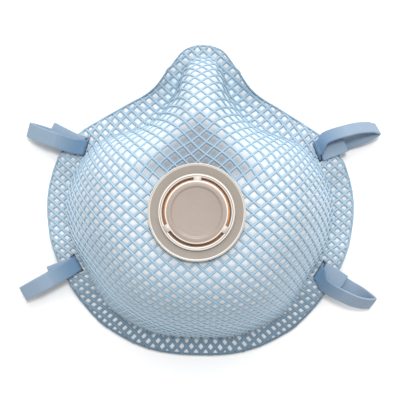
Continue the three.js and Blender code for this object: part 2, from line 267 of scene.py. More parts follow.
def grid_faces(rows, columns, wrap_rows=True, start=0, flip=False):
    """Quads over a rows x columns grid of points; rows run round the mask."""
    i, j = np.meshgrid(np.arange(rows if wrap_rows else rows - 1), np.arange(columns - 1), indexing="ij")
    at = lambda a, b: start + (a % rows) * columns + b
    quads = np.stack([at(i, j), at(i + 1, j), at(i + 1, j + 1), at(i, j + 1)], -1).reshape(-1, 4)
    return quads[:, ::-1] if flip else quads


def store_values(piece, label, values):
    """Keeps one number for each point of the piece, for its material or its node tree to read."""
    piece.data.attributes.new(label, "FLOAT", "POINT").data.foreach_set("value", np.ravel(values))


def map_points(piece, name, places):
    """Gives the piece a UV map from one place for each of its points."""
    corner_points = np.zeros(len(piece.data.loops), int)
    piece.data.loops.foreach_get("vertex_index", corner_points)
    piece.data.uv_layers.new(name=name).data.foreach_set("uv", np.ravel(places[corner_points]))

# %% [markdown]
# ## Effects that materials share
# The elastic is woven, the webs are felted from fine fibres, the mouldings have a faint orange peel and
# the filter swells in every window of the net. Each of these is a shader node group, built once, that
# hands out only a tone, a height or a mask. A painted image could show the same, but noise and waves
# stay sharp at any distance and need no file. Each material keeps its own shader.

# %% Shader groups
CELL_WIDTH, CELL_HEIGHT = 4.5, 3.9     # diagonals of the flat net's diamonds, across and towards the nose
FLAT_SIZE = 170.0                      # the square of flat net that the UV maps cover


def new_group(name, inputs, outputs):
    group = bpy.data.node_groups.new(name, "ShaderNodeTree")
    for label, kind, value in inputs:
        socket = group.interface.new_socket(label, in_out="INPUT", socket_type=f"NodeSocket{kind}")
        socket.default_value = value
    for label, kind in outputs:
        group.interface.new_socket(label, in_out="OUTPUT", socket_type=f"NodeSocket{kind}")
    return group, group.nodes.new("NodeGroupInput"), group.nodes.new("NodeGroupOutput")


def add_node(tree, kind, settings=None, **inputs):
    """A node with its properties and inputs; an input is a value or another node's output."""
    node = tree.nodes.new(kind)
    for key, value in (settings or {}).items():
        setattr(node, key, value)
    for key, value in inputs.items():
        socket = node.inputs[int(key[1:]) if key[0] == "i" and key[1:].isdigit() else key.replace("_", " ")]
        if isinstance(value, bpy.types.NodeSocket):
            tree.links.new(value, socket)
        else:
            socket.default_value = value
    return node


def math_node(tree, operation, a, b=0.0):
    return add_node(tree, "ShaderNodeMath", {"operation": operation}, i0=a, i1=b).outputs[0]


def make_grain_group(name, label, size, fine, cloud):
    """A surface with a cloudy tone and a fine height, both from object coordinates."""
    group, start, end = new_group(name, [(label, "Float", size)], [("Tone", "Float"), ("Height", "Float")])
    place = add_node(group, "ShaderNodeTexCoord").outputs["Object"]
    grain = add_node(group, "ShaderNodeTexNoise", Vector=place, Scale=start.outputs[0], **fine)
    clouds = add_node(group, "ShaderNodeTexNoise", Vector=place, **cloud)
    group.links.new(clouds.outputs[0], end.inputs["Tone"])
    group.links.new(grain.outputs[0], end.inputs["Height"])
    return group


def make_weave_group():
    """Woven elastic: ribs along the band and picks across it, read from the band's own UV map."""
    group, start, end = new_group("elastic_weave", [("Ribs", "Float", 13.0), ("Picks per mm", "Float", 2.2)],
                                  [("Tone", "Float"), ("Height", "Float")])
    uv = add_node(group, "ShaderNodeUVMap", {"uv_map": "band"}).outputs[0]
    parts = add_node(group, "ShaderNodeSeparateXYZ", i0=uv)
    across = math_node(group, "MULTIPLY", parts.outputs[0], start.outputs["Ribs"])
    along = math_node(group, "MULTIPLY", parts.outputs[1], start.outputs["Picks per mm"])
    rib = math_node(group, "SINE", math_node(group, "MULTIPLY", across, 2 * math.pi))
    offset = math_node(group, "MULTIPLY", math_node(group, "FLOOR", across), 0.5)
    moved = math_node(group, "ADD", along, offset)
    pick = math_node(group, "SINE", math_node(group, "MULTIPLY", moved, 2 * math.pi))
    ribs = math_node(group, "MULTIPLY_ADD", rib, 0.3)
    ribs.node.inputs[2].default_value = 0.5
    threads = math_node(group, "MULTIPLY_ADD", pick, 0.2)
    group.links.new(ribs, threads.node.inputs[2])
    group.links.new(threads, end.inputs["Height"])
    group.links.new(threads, end.inputs["Tone"])
    return group


def make_window_group():
    """How far a place on the web is from the net's strands, 0 to 1, read from its place on the flat net."""
    sizes = [("Flat size", "Float", FLAT_SIZE), ("Across", "Float", CELL_WIDTH),
             ("Along", "Float", CELL_HEIGHT)]
    group, start, end = new_group("net_windows", sizes, [("Open", "Float")])
    uv = add_node(group, "ShaderNodeUVMap", {"uv_map": "flat"}).outputs[0]
    parts = add_node(group, "ShaderNodeSeparateXYZ", i0=uv)
    m = lambda op, a, b=0.0: math_node(group, op, a, b)
    x, y = [m("DIVIDE", m("MULTIPLY", m("SUBTRACT", part, 0.5), start.outputs[0]), start.outputs[k])
            for part, k in ((parts.outputs[0], 1), (parts.outputs[1], 2))]
    waves = [m("ABSOLUTE", m("SINE", m("MULTIPLY", m(op, x, y), math.pi))) for op in ("ADD", "SUBTRACT")]
    group.links.new(m("POWER", m("MULTIPLY", *waves), 0.7), end.inputs["Open"])
    return group


FIBRE = make_grain_group("fibre_felt", "Fibre size", 900.0, {"Detail": 4.0, "Roughness": 0.7},
                         {"Scale": 60.0, "Detail": 2.0})
MOULDED = make_grain_group("moulded_skin", "Grain", 700.0, {"Detail": 2.0}, {"Scale": 90.0, "Detail": 3.0})
WEAVE, WINDOWS = make_weave_group(), make_window_group()
print("shader groups:", [g.name for g in (FIBRE, MOULDED, WEAVE, WINDOWS)])

# %% [markdown]
# ## Materials
# The net and the straps are light blue, the webs white, the foam grey and the valve beige, with an
# orange rubber flap behind its slots. Every one is plastic or fibre, so they differ in colour, in
# roughness and in their fine bump, and one function makes them all. What changes over a piece, such as
# the deeper blue of the pressed flange, is a value kept on its points, which the material mixes in.

# %% Plain materials
TONES = (0.3, 0.7)                     # what the clouds of the two grain groups stay between
BUMP_DEPTH = 0.0002
# Painted light and shade: the net's lit colour on the strands' crowns and its shaded colour on their sides.
NET_PAINTED_LIT_TOP, NET_PAINTED_SHADED_SIDE = (0.345, 0.465, 0.56), (0.21, 0.33, 0.44)


def mix_colour(tree, factor, dark, light):
    mix = add_node(tree, "ShaderNodeMix", {"data_type": "RGBA"})
    for socket, value in ((mix.inputs[0], factor), (mix.inputs[6], dark), (mix.inputs[7], light)):
        if isinstance(value, bpy.types.NodeSocket):
            tree.links.new(value, socket)
        else:
            socket.default_value = (*value, 1) if isinstance(value, tuple) else value
    return mix.outputs[2]


def ramp(tree, value, low, high, kind="SMOOTHSTEP"):
    node = add_node(tree, "ShaderNodeMapRange", {"interpolation_type": kind}, Value=value)
    node.inputs["From Min"].default_value, node.inputs["From Max"].default_value = low, high
    return node.outputs[0]


def surface(name, group, dark, light, roughness, bump, tones=TONES, **settings):
    """A material whose colour runs from dark to light with the group's tone, bumped by its height."""
    material = bpy.data.materials.new(name)
    material.use_nodes = True
    tree = material.node_tree
    shader = tree.nodes["Principled BSDF"]
    effect = add_node(tree, "ShaderNodeGroup", {"node_tree": group})
    tone = ramp(tree, effect.outputs["Tone"], *tones, "LINEAR")
    tree.links.new(mix_colour(tree, tone, dark, light), shader.inputs["Base Color"])
    height = add_node(tree, "ShaderNodeBump", Height=effect.outputs["Height"], Strength=bump,
                      Distance=BUMP_DEPTH)
    tree.links.new(height.outputs[0], shader.inputs["Normal"])
    shader.inputs["Roughness"].default_value = roughness
    for label, value in settings.items():
        shader.inputs[label.replace("_", " ")].default_value = value
    return material


net_plastic = surface("net_plastic", MOULDED, NET_PAINTED_SHADED_SIDE, NET_PAINTED_LIT_TOP, 0.45, 0.15, Specular_IOR_Level=0.4)
filter_felt = surface("filter_felt", FIBRE, (0.60, 0.60, 0.60), (0.72, 0.71, 0.70), 0.95, 0.5)
lining_felt = surface("lining_felt", FIBRE, (0.80, 0.82, 0.84), (0.88, 0.89, 0.90), 0.95, 0.4,
                      Sheen_Weight=0.2)
foam_grey = surface("foam_grey", FIBRE, (0.30, 0.33, 0.36), (0.42, 0.45, 0.48), 0.95, 0.8)
beige_plastic = surface("beige_plastic", MOULDED, (0.250, 0.217, 0.184), (0.272, 0.236, 0.201), 0.38, 0.1)
cover_plastic = surface("cover_plastic", MOULDED, (0.298, 0.242, 0.204), (0.326, 0.266, 0.224), 0.35, 0.1)
flap_rubber = surface("flap_rubber", MOULDED, (0.60, 0.22, 0.06), (0.68, 0.28, 0.09), 0.4, 0.1)
strap_elastic = surface("strap_elastic", WEAVE, (0.18, 0.25, 0.34), (0.31, 0.41, 0.52), 0.75, 0.6, (0.0, 1.0),
                        Sheen_Weight=0.2)
print("materials:", [m.name for m in bpy.data.materials])

# %% [markdown]
# Now the values that the pieces keep on their points come in, and most of them paint light and shade. A
# painted highlight makes the rounded corners of a moulding almost white, and painted shade makes the
# elastic a deeper blue where it comes out of its slit. The net's strands are painted pale on top and
# deeper at their sides, and the filter shows its white only where it swells between them.

# %% Tints from the pieces' own values
def own_value(tree, name):
    return add_node(tree, "ShaderNodeAttribute", {"attribute_name": name}).outputs["Fac"]


def colour_of(material):
    """The material's tree, the socket that takes its colour, and the colour that reaches it so far."""
    tree = material.node_tree
    taker = tree.nodes["Principled BSDF"].inputs["Base Color"]
    return tree, taker, taker.links[0].from_socket


def tint_where(material, name, tint):
    tree, taker, plain = colour_of(material)
    tree.links.new(mix_colour(tree, own_value(tree, name), plain, tint), taker)


def tint_net():
    """The blue is deepest on the pressed flange at the chin, where painted shade adds to its own deeper
    blue, and palest on the steep walls above it, which are painted lighter: there the value is below 0.
    Each strand is painted pale on its crown and deeper at its sides."""
    tree, taker, _ = colour_of(net_plastic)
    crown, blue_and_painted_shading = ramp(tree, own_value(tree, "crown"), -0.3, 0.7), own_value(tree, "blue_and_painted_shading")
    top = mix_colour(tree, blue_and_painted_shading, NET_PAINTED_LIT_TOP, (0.10, 0.17, 0.24))
    side = mix_colour(tree, blue_and_painted_shading, NET_PAINTED_SHADED_SIDE, (0.05, 0.10, 0.16))
    # Painted light: where the value is below 0, on the steep walls near the chin, the strands are coloured
    # paler.
    pale = math_node(tree, "MULTIPLY", blue_and_painted_shading, -1.0)
    top = mix_colour(tree, pale, top, (0.52, 0.66, 0.77))
    side = mix_colour(tree, pale, side, (0.36, 0.49, 0.60))
    # Painted light and shade, by how far each point of a strand faces outward.
    tree.links.new(mix_colour(tree, crown, side, top), taker)


def tint_filter():
    """The web is bluish where it clings to the strands, which is everywhere on steep walls, and white
    between them. Painted shade greys it in the valley above the valve, and painted light makes the
    web on steep walls a lighter blue."""
    tree, taker, fibres = colour_of(filter_felt)
    steep, shade = own_value(tree, "steep"), own_value(tree, "shade")
    window = add_node(tree, "ShaderNodeGroup", {"node_tree": WINDOWS}).outputs[0]
    flat_part = math_node(tree, "SUBTRACT", 1.0, steep)
    opened = math_node(tree, "MULTIPLY", ramp(tree, window, 0.50, 1.0), flat_part)
    felt = tree.nodes["Principled BSDF"].inputs["Normal"].links[0].from_node
    pillow = add_node(tree, "ShaderNodeBump", Height=window, Strength=0.7, Distance=0.0008)
    tree.links.new(pillow.outputs[0], felt.inputs["Normal"])
    # Painted shade: the web is greyed in the valley above the valve.
    clear = mix_colour(tree, shade, fibres, (0.25, 0.25, 0.26))
    # Painted light: the web on steep walls is coloured a lighter blue.
    on_wall = mix_colour(tree, steep, (0.55, 0.69, 0.80), (0.66, 0.82, 0.95))
    cling = mix_colour(tree, shade, on_wall, (0.28, 0.36, 0.44))
    tree.links.new(mix_colour(tree, opened, cling, clear), taker)


tint_net()
tint_filter()
# Painted shade: the elastic is coloured a deeper blue near its slits, where the mask shades it.
tint_where(strap_elastic, "slit_shade", (0.09, 0.19, 0.32))
# Painted highlight: the rounded corners of the valve's mouldings are coloured almost white.
tint_where(beige_plastic, "edge", (0.82, 0.77, 0.71))
tint_where(cover_plastic, "edge", (0.82, 0.77, 0.71))
print("nodes:", {m.name: len(m.node_tree.nodes) for m in bpy.data.materials if m.use_nodes})

# %% [markdown]
# ## Flat net and draped net
# The netting starts as a flat sheet of diamonds and is stretched over the mould. A chart keeps both
# states: every point of the cup also has a place on the flat sheet. On the dome that place comes from
# the direction and the distance from the valve, measured over the surface and divided by how far the
# net is drawn out there. Beyond the foot the flange is nearly flat, so its plan is mapped as it is.

# %% Flat places of the cup
STRANDS_END = 1.94                     # the strands stop in the welded edge, just inside the rim


def chart_rings():
    spans = [(-1, 0, 6), (0, 0.8, 26), (0.8, 1.15, 30), (1.15, STRANDS_END, 16)]
    return np.concatenate([np.linspace(a, b, n, endpoint=False) for a, b, n in spans] + [[STRANDS_END]])


# How far the net is drawn out beside the valve, and above and below it.
SIDE_STRETCH, MIDDLE_STRETCH = 1.19, 1.29


def bearing_values(foot):
    """By direction from the valve: the net's scale at the foot, how far it's drawn over the flange, and
    how far beside the valve."""
    bearing = np.degrees(np.arctan2(foot[:, 1], np.abs(foot[:, 0])))
    at_foot = 0.96 + 0.13 * smooth(-bearing / 70) - 0.08 * smooth((bearing - 20) / 30)
    stretch = SIDE_STRETCH + (MIDDLE_STRETCH - SIDE_STRETCH) * smooth((np.abs(bearing) - 15) / 50)
    drawn = 1.06 + 0.20 * np.exp(-(((bearing - 62) / 20) ** 2)) + 0.26 * smooth((-bearing - 40) / 35)
    return at_foot[:, None], drawn[:, None], stretch[:, None]


def flat_places(turn, s, points):
    """Places on the flat sheet, from its middle. The dome is mapped by distance and direction from the valve;
    beyond the foot the net lies on the flange as it fell there."""
    steps = np.linalg.norm(np.diff(points, axis=1), axis=-1)
    travel = HOLE_RADIUS + np.concatenate([np.zeros((len(turn), 1)), np.cumsum(steps, 1)], 1)
    foot = foot_curve(turn) - (0, VALVE_Y)
    bearing = np.arctan2(foot[:, 1], foot[:, 0])[:, None]
    scale, drawn, stretch = bearing_values(foot)
    foot_ring = np.argmin(np.abs(s - 1))
    foot_travel = travel[:, foot_ring:foot_ring + 1]
    foot_flat = np.linalg.norm(foot, axis=1)[:, None] * scale
    radius = travel / stretch + (foot_flat - foot_travel / stretch) * (travel / foot_travel) ** 2
    dome = np.stack([radius * np.cos(bearing), radius * np.sin(bearing)], -1)
    beyond = (points[..., :2] - points[:, foot_ring:foot_ring + 1, :2]) / drawn[..., None]
    return np.where(s[None, :, None] <= 1, dome, dome[:, foot_ring:foot_ring + 1] + beyond)

# %% [markdown]
# Pressing the mask leaves marks that several layers share: the cut rim is squeezed thin, the steep
# walls are stretched, and the net's blue is denser wherever it was pressed flat. Other marks here are
# painted light and shade: shade in the valley between the valve and the nose and towards the chin, and
# light on the steep walls near the chin. Each mark is a small function of the place on the cup, from 0
# to 1, so that the layers and their colours agree.

# %% What the press leaves
NET_PINCH, LINING_PINCH = 1.0, 1.1     # how far the layers close up at the cut edge


def rim_pinch(s):
    """The press squeezes the layers together along the cut edge: 0 inside, 1 at the rim."""
    return smooth((s - 1.72) / 0.28)


def wall_steepness(normal):
    """0 where the cup faces forwards, 0.8 on its steepest walls."""
    return 0.8 * smooth((0.70 - normal[..., 2]) / 0.45)


def shaded_hollow(place):
    """The valley between the valve and the nose, where painted shade greys the web and deepens the net's
    blue.
    """
    x, y = np.abs(place[..., 0]), place[..., 1]
    return smooth((42 - y - x) / 14) * smooth((y - 5) / 9)


def net_blue_and_painted_shade(place, s):
    """How deep the net's blue is: palest at the nose, deepest on its flange, which pressing makes denser.
    The deepening towards the chin and in the valley above the valve is painted shade.
    """
    y = place[..., 1]
    # Painted shade: darker towards the chin, and in the valley above the valve.
    body = 0.04 * smooth((20 - y) / 80) + 0.25 * shaded_hollow(place)
    chin, nose = smooth((-15 - y) / 40), smooth((y - 30) / 20)
    # 0.12 is the pressed flange's own denser blue; the chin term is painted shade.
    flange = 0.12 + 0.68 * chin + 0.30 * nose * smooth((s - 1.35) / 0.5)
    return body + (flange - body) * smooth((s - 0.93) / 0.25)


print("depth of blue, nose and chin:", [round(float(net_blue_and_painted_shade(np.array((0, y)), 1.9)), 2) for y in (65, -65)])

# %% [markdown]
# The chart is a real mesh for a moment. Its points lie on the cup, its UV map holds the flat places,
# and its attributes say which way is outward, what is flange and how deep the blue is there. The node
# tree below reads all of that from it, and then it is removed.

# %% The chart mesh
RIM_STEP = 0.5


def build_chart(rows=360):
    turn, s = np.arange(rows) / rows, chart_rings()
    points, normals = cup(turn[:, None], s[None, :]), outward(turn[:, None], s[None, :])
    flat = flat_places(turn, s, points)
    points = points - normals * rim_pinch(s)[None, :, None] * NET_PINCH
    on_flange = np.tile(smooth((s - 0.9) / 0.12), (rows, 1))
    # Painted light: the steep walls near the chin, which face away from the lamps, are made paler.
    blue_and_painted_shading = net_blue_and_painted_shade(points, s) - wall_steepness(normals) * smooth((25 - points[..., 1]) / 30)
    # One more ring that is wide on the flat sheet but has no width on the cup: strands end on the rim.
    step = flat[:, -1:] - flat[:, -2:-1]
    rim = flat[:, -1:] + step / np.linalg.norm(step, axis=-1, keepdims=True) * RIM_STEP
    flat = np.concatenate([flat, rim], 1)
    points, normals, on_flange, blue_and_painted_shading = [np.concatenate([values, values[:, -1:]], 1)
                                        for values in (points, normals, on_flange, blue_and_painted_shading)]
    chart = new_piece("net_chart", points.reshape(-1, 3), grid_faces(*points.shape[:2]))
    map_points(chart, "flat", flat.reshape(-1, 2) / FLAT_SIZE + 0.5)
    ways_out = chart.data.attributes.new("outward", "FLOAT_VECTOR", "POINT")
    ways_out.data.foreach_set("vector", np.ravel(normals))
    store_values(chart, "flange", on_flange)
    store_values(chart, "blue_and_painted_shading", blue_and_painted_shading)
    return chart


chart = build_chart()
print("chart points:", len(chart.data.vertices))

# %% [markdown]
# The strands are Geometry Nodes work: one tree draws the straight lines of one strand family on the
# flat sheet, looks up where each point lands on the cup, drops what falls outside the net or in a
# strap slit, and sweeps an oval strand along what is left. Its three steps are three functions here.

# %% Slits, and small helpers for the tree
def add_interface(tree, inputs):
    tree.interface.new_socket("Geometry", in_out="INPUT", socket_type="NodeSocketGeometry")
    for label, kind in inputs:
        tree.interface.new_socket(label, in_out="INPUT", socket_type=f"NodeSocket{kind}")
    tree.interface.new_socket("Geometry", in_out="OUTPUT", socket_type="NodeSocketGeometry")


def vector_math(tree, operation, a, b=None, scale=None):
    node = tree.nodes.new("ShaderNodeVectorMath")
    node.operation = operation
    for socket, value in ((node.inputs[0], a), (node.inputs[1], b), (node.inputs.get("Scale"), scale)):
        if value is None:
            continue
        if isinstance(value, bpy.types.NodeSocket):
            tree.links.new(value, socket)
        else:
            socket.default_value = value
    return node.outputs["Value"] if operation in ("DOT_PRODUCT", "LENGTH") else node.outputs[0]


SLIT_IN, SLIT_OUT, SLIT_LENGTH = -1.35, 1.45, 9.0
SLIT_TAPER = 0.36              # the slit's ends close up towards the outboard side


def in_a_slit(tree, place):
    """True where a point lies in one of the four strap slits, seen from above."""
    found = None
    m = lambda op, a, b=0.0: math_node(tree, op, a, b)
    for x, y, angle, *_ in CORNERS.values():
        a = math.radians(angle)
        away = vector_math(tree, "SUBTRACT", place, (x * MM, y * MM, 0))
        out = vector_math(tree, "DOT_PRODUCT", away, (math.cos(a), math.sin(a), 0))
        side = m("ABSOLUTE", vector_math(tree, "DOT_PRODUCT", away, (-math.sin(a), math.cos(a), 0)))
        middle = m("ABSOLUTE", m("SUBTRACT", out, (SLIT_IN + SLIT_OUT) / 2 * MM))
        near = m("LESS_THAN", middle, (SLIT_OUT - SLIT_IN) / 2 * MM)
        tapered = m("ADD", side, m("MULTIPLY", m("SUBTRACT", out, SLIT_IN * MM), SLIT_TAPER))
        here = m("MULTIPLY", near, m("LESS_THAN", tapered, SLIT_LENGTH / 2 * MM))
        found = here if found is None else m("MAXIMUM", found, here)
    return found


def read_value(tree, name, kind="FLOAT"):
    return add_node(tree, "GeometryNodeInputNamedAttribute", {"data_type": kind}, Name=name).outputs[0]


def keep_value(tree, geometry, name, value, kind="FLOAT"):
    return add_node(tree, "GeometryNodeStoreNamedAttribute", {"data_type": kind, "domain": "POINT"},
                    Geometry=geometry, Name=name, Value=value).outputs[0]


def position(tree):
    return add_node(tree, "GeometryNodeInputPosition").outputs[0]

# %% [markdown]
# The flat lines come from a plain grid: deleting its cross edges leaves parallel lines with many
# points. Turned by 45 degrees and scaled by the cell's two diagonals, they are the slanting strands.

# %% Tree step one: straight lines on the flat sheet
def draw_lines(tree, given):
    """The lines of one family, and their points' places on the flat sheet as UV."""
    m = lambda op, a, b=0.0: math_node(tree, op, a, b)
    span = m("MULTIPLY", given["Half lines"], 2.0)
    lines = add_node(tree, "GeometryNodeMeshGrid", None, Size_X=span, Size_Y=span,
                     Vertices_X=m("ADD", span, 1.0), Vertices_Y=given["Samples"])
    ends = add_node(tree, "GeometryNodeInputMeshEdgeVertices")
    step = vector_math(tree, "SUBTRACT", ends.outputs["Position 1"], ends.outputs["Position 2"])
    across = add_node(tree, "ShaderNodeSeparateXYZ", i0=step).outputs[0]
    loose = add_node(tree, "GeometryNodeDeleteGeometry", {"domain": "EDGE", "mode": "EDGE_FACE"},
                     Geometry=lines.outputs[0], Selection=m("GREATER_THAN", m("ABSOLUTE", across), 0.5))
    place = add_node(tree, "ShaderNodeSeparateXYZ", i0=position(tree)).outputs
    sign = m("SUBTRACT", 1.0, m("MULTIPLY", given["Second family"], 2.0))
    gap = m("MULTIPLY", m("SUBTRACT", place[0], place[1]), sign)
    x = m("MULTIPLY", m("MULTIPLY", m("ADD", place[0], place[1]), 0.5), given["Cell width"])
    y = m("MULTIPLY", m("MULTIPLY", gap, 0.5), given["Cell height"])
    uv = add_node(tree, "ShaderNodeCombineXYZ", X=m("ADD", m("DIVIDE", x, given["Flat size"]), 0.5),
                  Y=m("ADD", m("DIVIDE", y, given["Flat size"]), 0.5))
    return loose.outputs[0], uv.outputs[0]

# %% [markdown]
# Sample UV Surface answers the question that a stretched net poses: where on the cup is this place of
# the flat sheet? It also brings the outward direction and the values that the strands need later.

# %% Tree step two: draped over the cup
def drape_lines(tree, given, lines, uv):
    m = lambda op, a, b=0.0: math_node(tree, op, a, b)
    chart_uv = read_value(tree, "flat", "FLOAT_VECTOR")

    def look_up(value, kind="FLOAT"):
        return add_node(tree, "GeometryNodeSampleUVSurface", {"data_type": kind}, Mesh=given["Geometry"],
                        Value=value, UV_Map=chart_uv, Sample_UV=uv).outputs

    landed = look_up(position(tree), "FLOAT_VECTOR")
    normal = look_up(read_value(tree, "outward", "FLOAT_VECTOR"), "FLOAT_VECTOR")["Value"]
    kept = keep_value(tree, lines, "outward", normal, "FLOAT_VECTOR")
    for name in ("flange", "blue_and_painted_shading"):
        kept = keep_value(tree, kept, name, look_up(read_value(tree, name))["Value"])
    kept = keep_value(tree, kept, "on_net", landed["Is Valid"], "BOOLEAN")
    sunk = vector_math(tree, "SCALE", normal, scale=m("MULTIPLY", given["Depth"], -1.0))
    draped = add_node(tree, "GeometryNodeSetPosition", Geometry=kept,
                      Position=vector_math(tree, "ADD", landed["Value"], sunk))
    on_net = read_value(tree, "on_net", "BOOLEAN")
    outside = add_node(tree, "FunctionNodeBooleanMath", {"operation": "NOT"}, i0=on_net)
    trimmed = add_node(tree, "GeometryNodeDeleteGeometry", {"domain": "POINT"},
                       Geometry=draped.outputs[0], Selection=outside.outputs[0])
    slit = in_a_slit(tree, position(tree))
    return add_node(tree, "GeometryNodeDeleteGeometry", {"domain": "POINT"},
                    Geometry=trimmed.outputs[0], Selection=m("GREATER_THAN", slit, 0.5)).outputs[0]

# %% [markdown]
# Each strand is an oval that stands upright on the cup, so the curves take the outward direction as
# their own normal. Afterwards every point keeps how far it faces outward: 1 on the strand's crown and
# below 0 on its underside. The net's material paints light and shade by it, pale on crowns, deep below.

# %% Tree step three: swept strands
def sweep_strands(tree, given, lines):
    m = lambda op, a, b=0.0: math_node(tree, op, a, b)
    curves = add_node(tree, "GeometryNodeMeshToCurve", None, Mesh=lines)
    away = read_value(tree, "outward", "FLOAT_VECTOR")
    upright = add_node(tree, "GeometryNodeSetCurveNormal", {"mode": "FREE"}, Curve=curves.outputs[0],
                       Normal=away)
    ring = add_node(tree, "GeometryNodeCurvePrimitiveCircle", None, Resolution=8, Radius=0.5)
    size = add_node(tree, "ShaderNodeCombineXYZ", X=given["Strand height"], Y=given["Strand width"], Z=1.0)
    oval = add_node(tree, "GeometryNodeTransform", None, Geometry=ring.outputs[0], Scale=size.outputs[0])
    wider = m("MULTIPLY", read_value(tree, "flange"), m("SUBTRACT", given["Flange width"], 1.0))
    swept = add_node(tree, "GeometryNodeCurveToMesh", None, Curve=upright.outputs[0],
                     Profile_Curve=oval.outputs[0], Fill_Caps=True, Scale=m("ADD", 1.0, wider))
    facing = vector_math(tree, "DOT_PRODUCT", add_node(tree, "GeometryNodeInputNormal").outputs[0], away)
    crowned = keep_value(tree, swept.outputs[0], "crown", facing)
    return add_node(tree, "GeometryNodeSetShadeSmooth", None, Geometry=crowned).outputs[0]

# %% [markdown]
# The whole tree has a named input for every size, so that it could serve another net. It ends in
# Realize Instances and Set Material, and the result is plain geometry that knows its material.

# %% The whole strand tree
def build_strand_tree():
    tree = bpy.data.node_groups.new("net_strands", "GeometryNodeTree")
    add_interface(tree, [("Half lines", "Int"), ("Samples", "Int"), ("Second family", "Float"),
                         ("Cell width", "Float"), ("Cell height", "Float"), ("Flat size", "Float"),
                         ("Strand width", "Float"), ("Strand height", "Float"), ("Depth", "Float"),
                         ("Flange width", "Float"), ("Material", "Material")])
    start, end = tree.nodes.new("NodeGroupInput"), tree.nodes.new("NodeGroupOutput")
    given = start.outputs
    draped = drape_lines(tree, given, *draw_lines(tree, given))
    real = add_node(tree, "GeometryNodeRealizeInstances", None, Geometry=sweep_strands(tree, given, draped))
    made = add_node(tree, "GeometryNodeSetMaterial", None, Geometry=real.outputs[0],
                    Material=given["Material"])
    tree.links.new(made.outputs[0], end.inputs[0])
    return tree


STRAND_TREE = build_strand_tree()
print("strand tree nodes:", len(STRAND_TREE.nodes))

# %% [markdown]
# The tree runs twice, once for each family, and each result becomes a plain mesh. Where strands cross,
# a moulded net has a knot: one family lies a little deeper, so the two sink into each other there.

# %% The two strand families
STRAND_WIDTH, STRAND_HEIGHT, FLANGE_WIDENING = 1.0, 0.85, 1.35
RISING_DEPTH, FALLING_DEPTH = 0.40, 0.52
SAMPLES_PER_CELL = 4


def apply_modifiers(piece):
    """Bakes the live modifiers into a plain mesh."""
    bpy.context.view_layer.update()
    evaluated = piece.evaluated_get(bpy.context.evaluated_depsgraph_get())
    mesh = bpy.data.meshes.new_from_object(evaluated)
    piece.modifiers.clear()
    piece.data = mesh
    mesh.name = piece.name
    return piece


def finish_piece(piece, body, slot, material, *nodes):
    piece.data.materials.clear()
    piece.data.materials.append(material)
    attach(piece, body)
    if nodes:
        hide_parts(*nodes)
    triangles = sum(len(p.vertices) - 2 for p in piece.data.polygons)
    print(f"{piece.name}: {triangles} triangles on {body}")
    return piece


def set_inputs(modifier, values):
    """Sets a Geometry Nodes modifier's inputs by the identifiers of its sockets."""
    names = {s.name: s.identifier for s in modifier.node_group.interface.items_tree if s.in_out == "INPUT"}
    for label, value in values.items():
        modifier[names[label]] = value


def make_strands(name, second, depth):
    piece = bpy.data.objects.new(name, chart.data.copy())
    bpy.context.scene.collection.objects.link(piece)
    modifier = piece.modifiers.new("strands", "NODES")
    modifier.node_group = STRAND_TREE
    half = int(FLAT_SIZE / 2 * (1 / CELL_WIDTH + 1 / CELL_HEIGHT)) + 1
    set_inputs(modifier, {"Half lines": half, "Samples": half * 2 * SAMPLES_PER_CELL + 1,
                          "Second family": second,
                          "Cell width": CELL_WIDTH, "Cell height": CELL_HEIGHT, "Flat size": FLAT_SIZE,
                          "Strand width": STRAND_WIDTH * MM, "Strand height": STRAND_HEIGHT * MM,
                          "Depth": depth * MM, "Flange width": FLANGE_WIDENING, "Material": net_plastic})
    return apply_modifiers(piece)


rising = make_strands("net_strands_rising", 0.0, RISING_DEPTH)
falling = make_strands("net_strands_falling", 1.0, FALLING_DEPTH)
finish_piece(rising, "root", "net", net_plastic, "outer_net_shell")
finish_piece(falling, "root", "net", net_plastic, "outer_net_shell")
bpy.data.objects.remove(chart)

# %% [markdown]
# The cup is cut from the sheet and its layers are welded together in one stroke, which leaves a thin
# hard edge all round. It's a flat bead that follows the rim and holds the ends of the strands.

# %% Welded edge
EDGE_WIDTH, EDGE_HEIGHT, EDGE_DEPTH = 1.0, 1.5, 1.40
EDGE_CROWN, EDGE_EXTRA_DEPTH = 0.3, 0.1    # what the bead tells the net's material: a middle share of the strands' painted light, and deeper blue


def tube_faces(rows, around, closed=True):
    """Quads over rings of points; a closed tube also joins its last ring to its first."""
    i, j = np.meshgrid(np.arange(rows if closed else rows - 1), np.arange(around), indexing="ij")
    n, k = (i + 1) % rows, (j + 1) % around
    return np.stack([i * around + j, i * around + k, n * around + k, n * around + j], -1).reshape(-1, 4)


def face_outwards(piece):
    """Turns the faces of a closed piece outwards."""
    solid = bmesh.new()
    solid.from_mesh(piece.data)
    bmesh.ops.recalc_face_normals(solid, faces=solid.faces)
    solid.to_mesh(piece.data)
    solid.free()


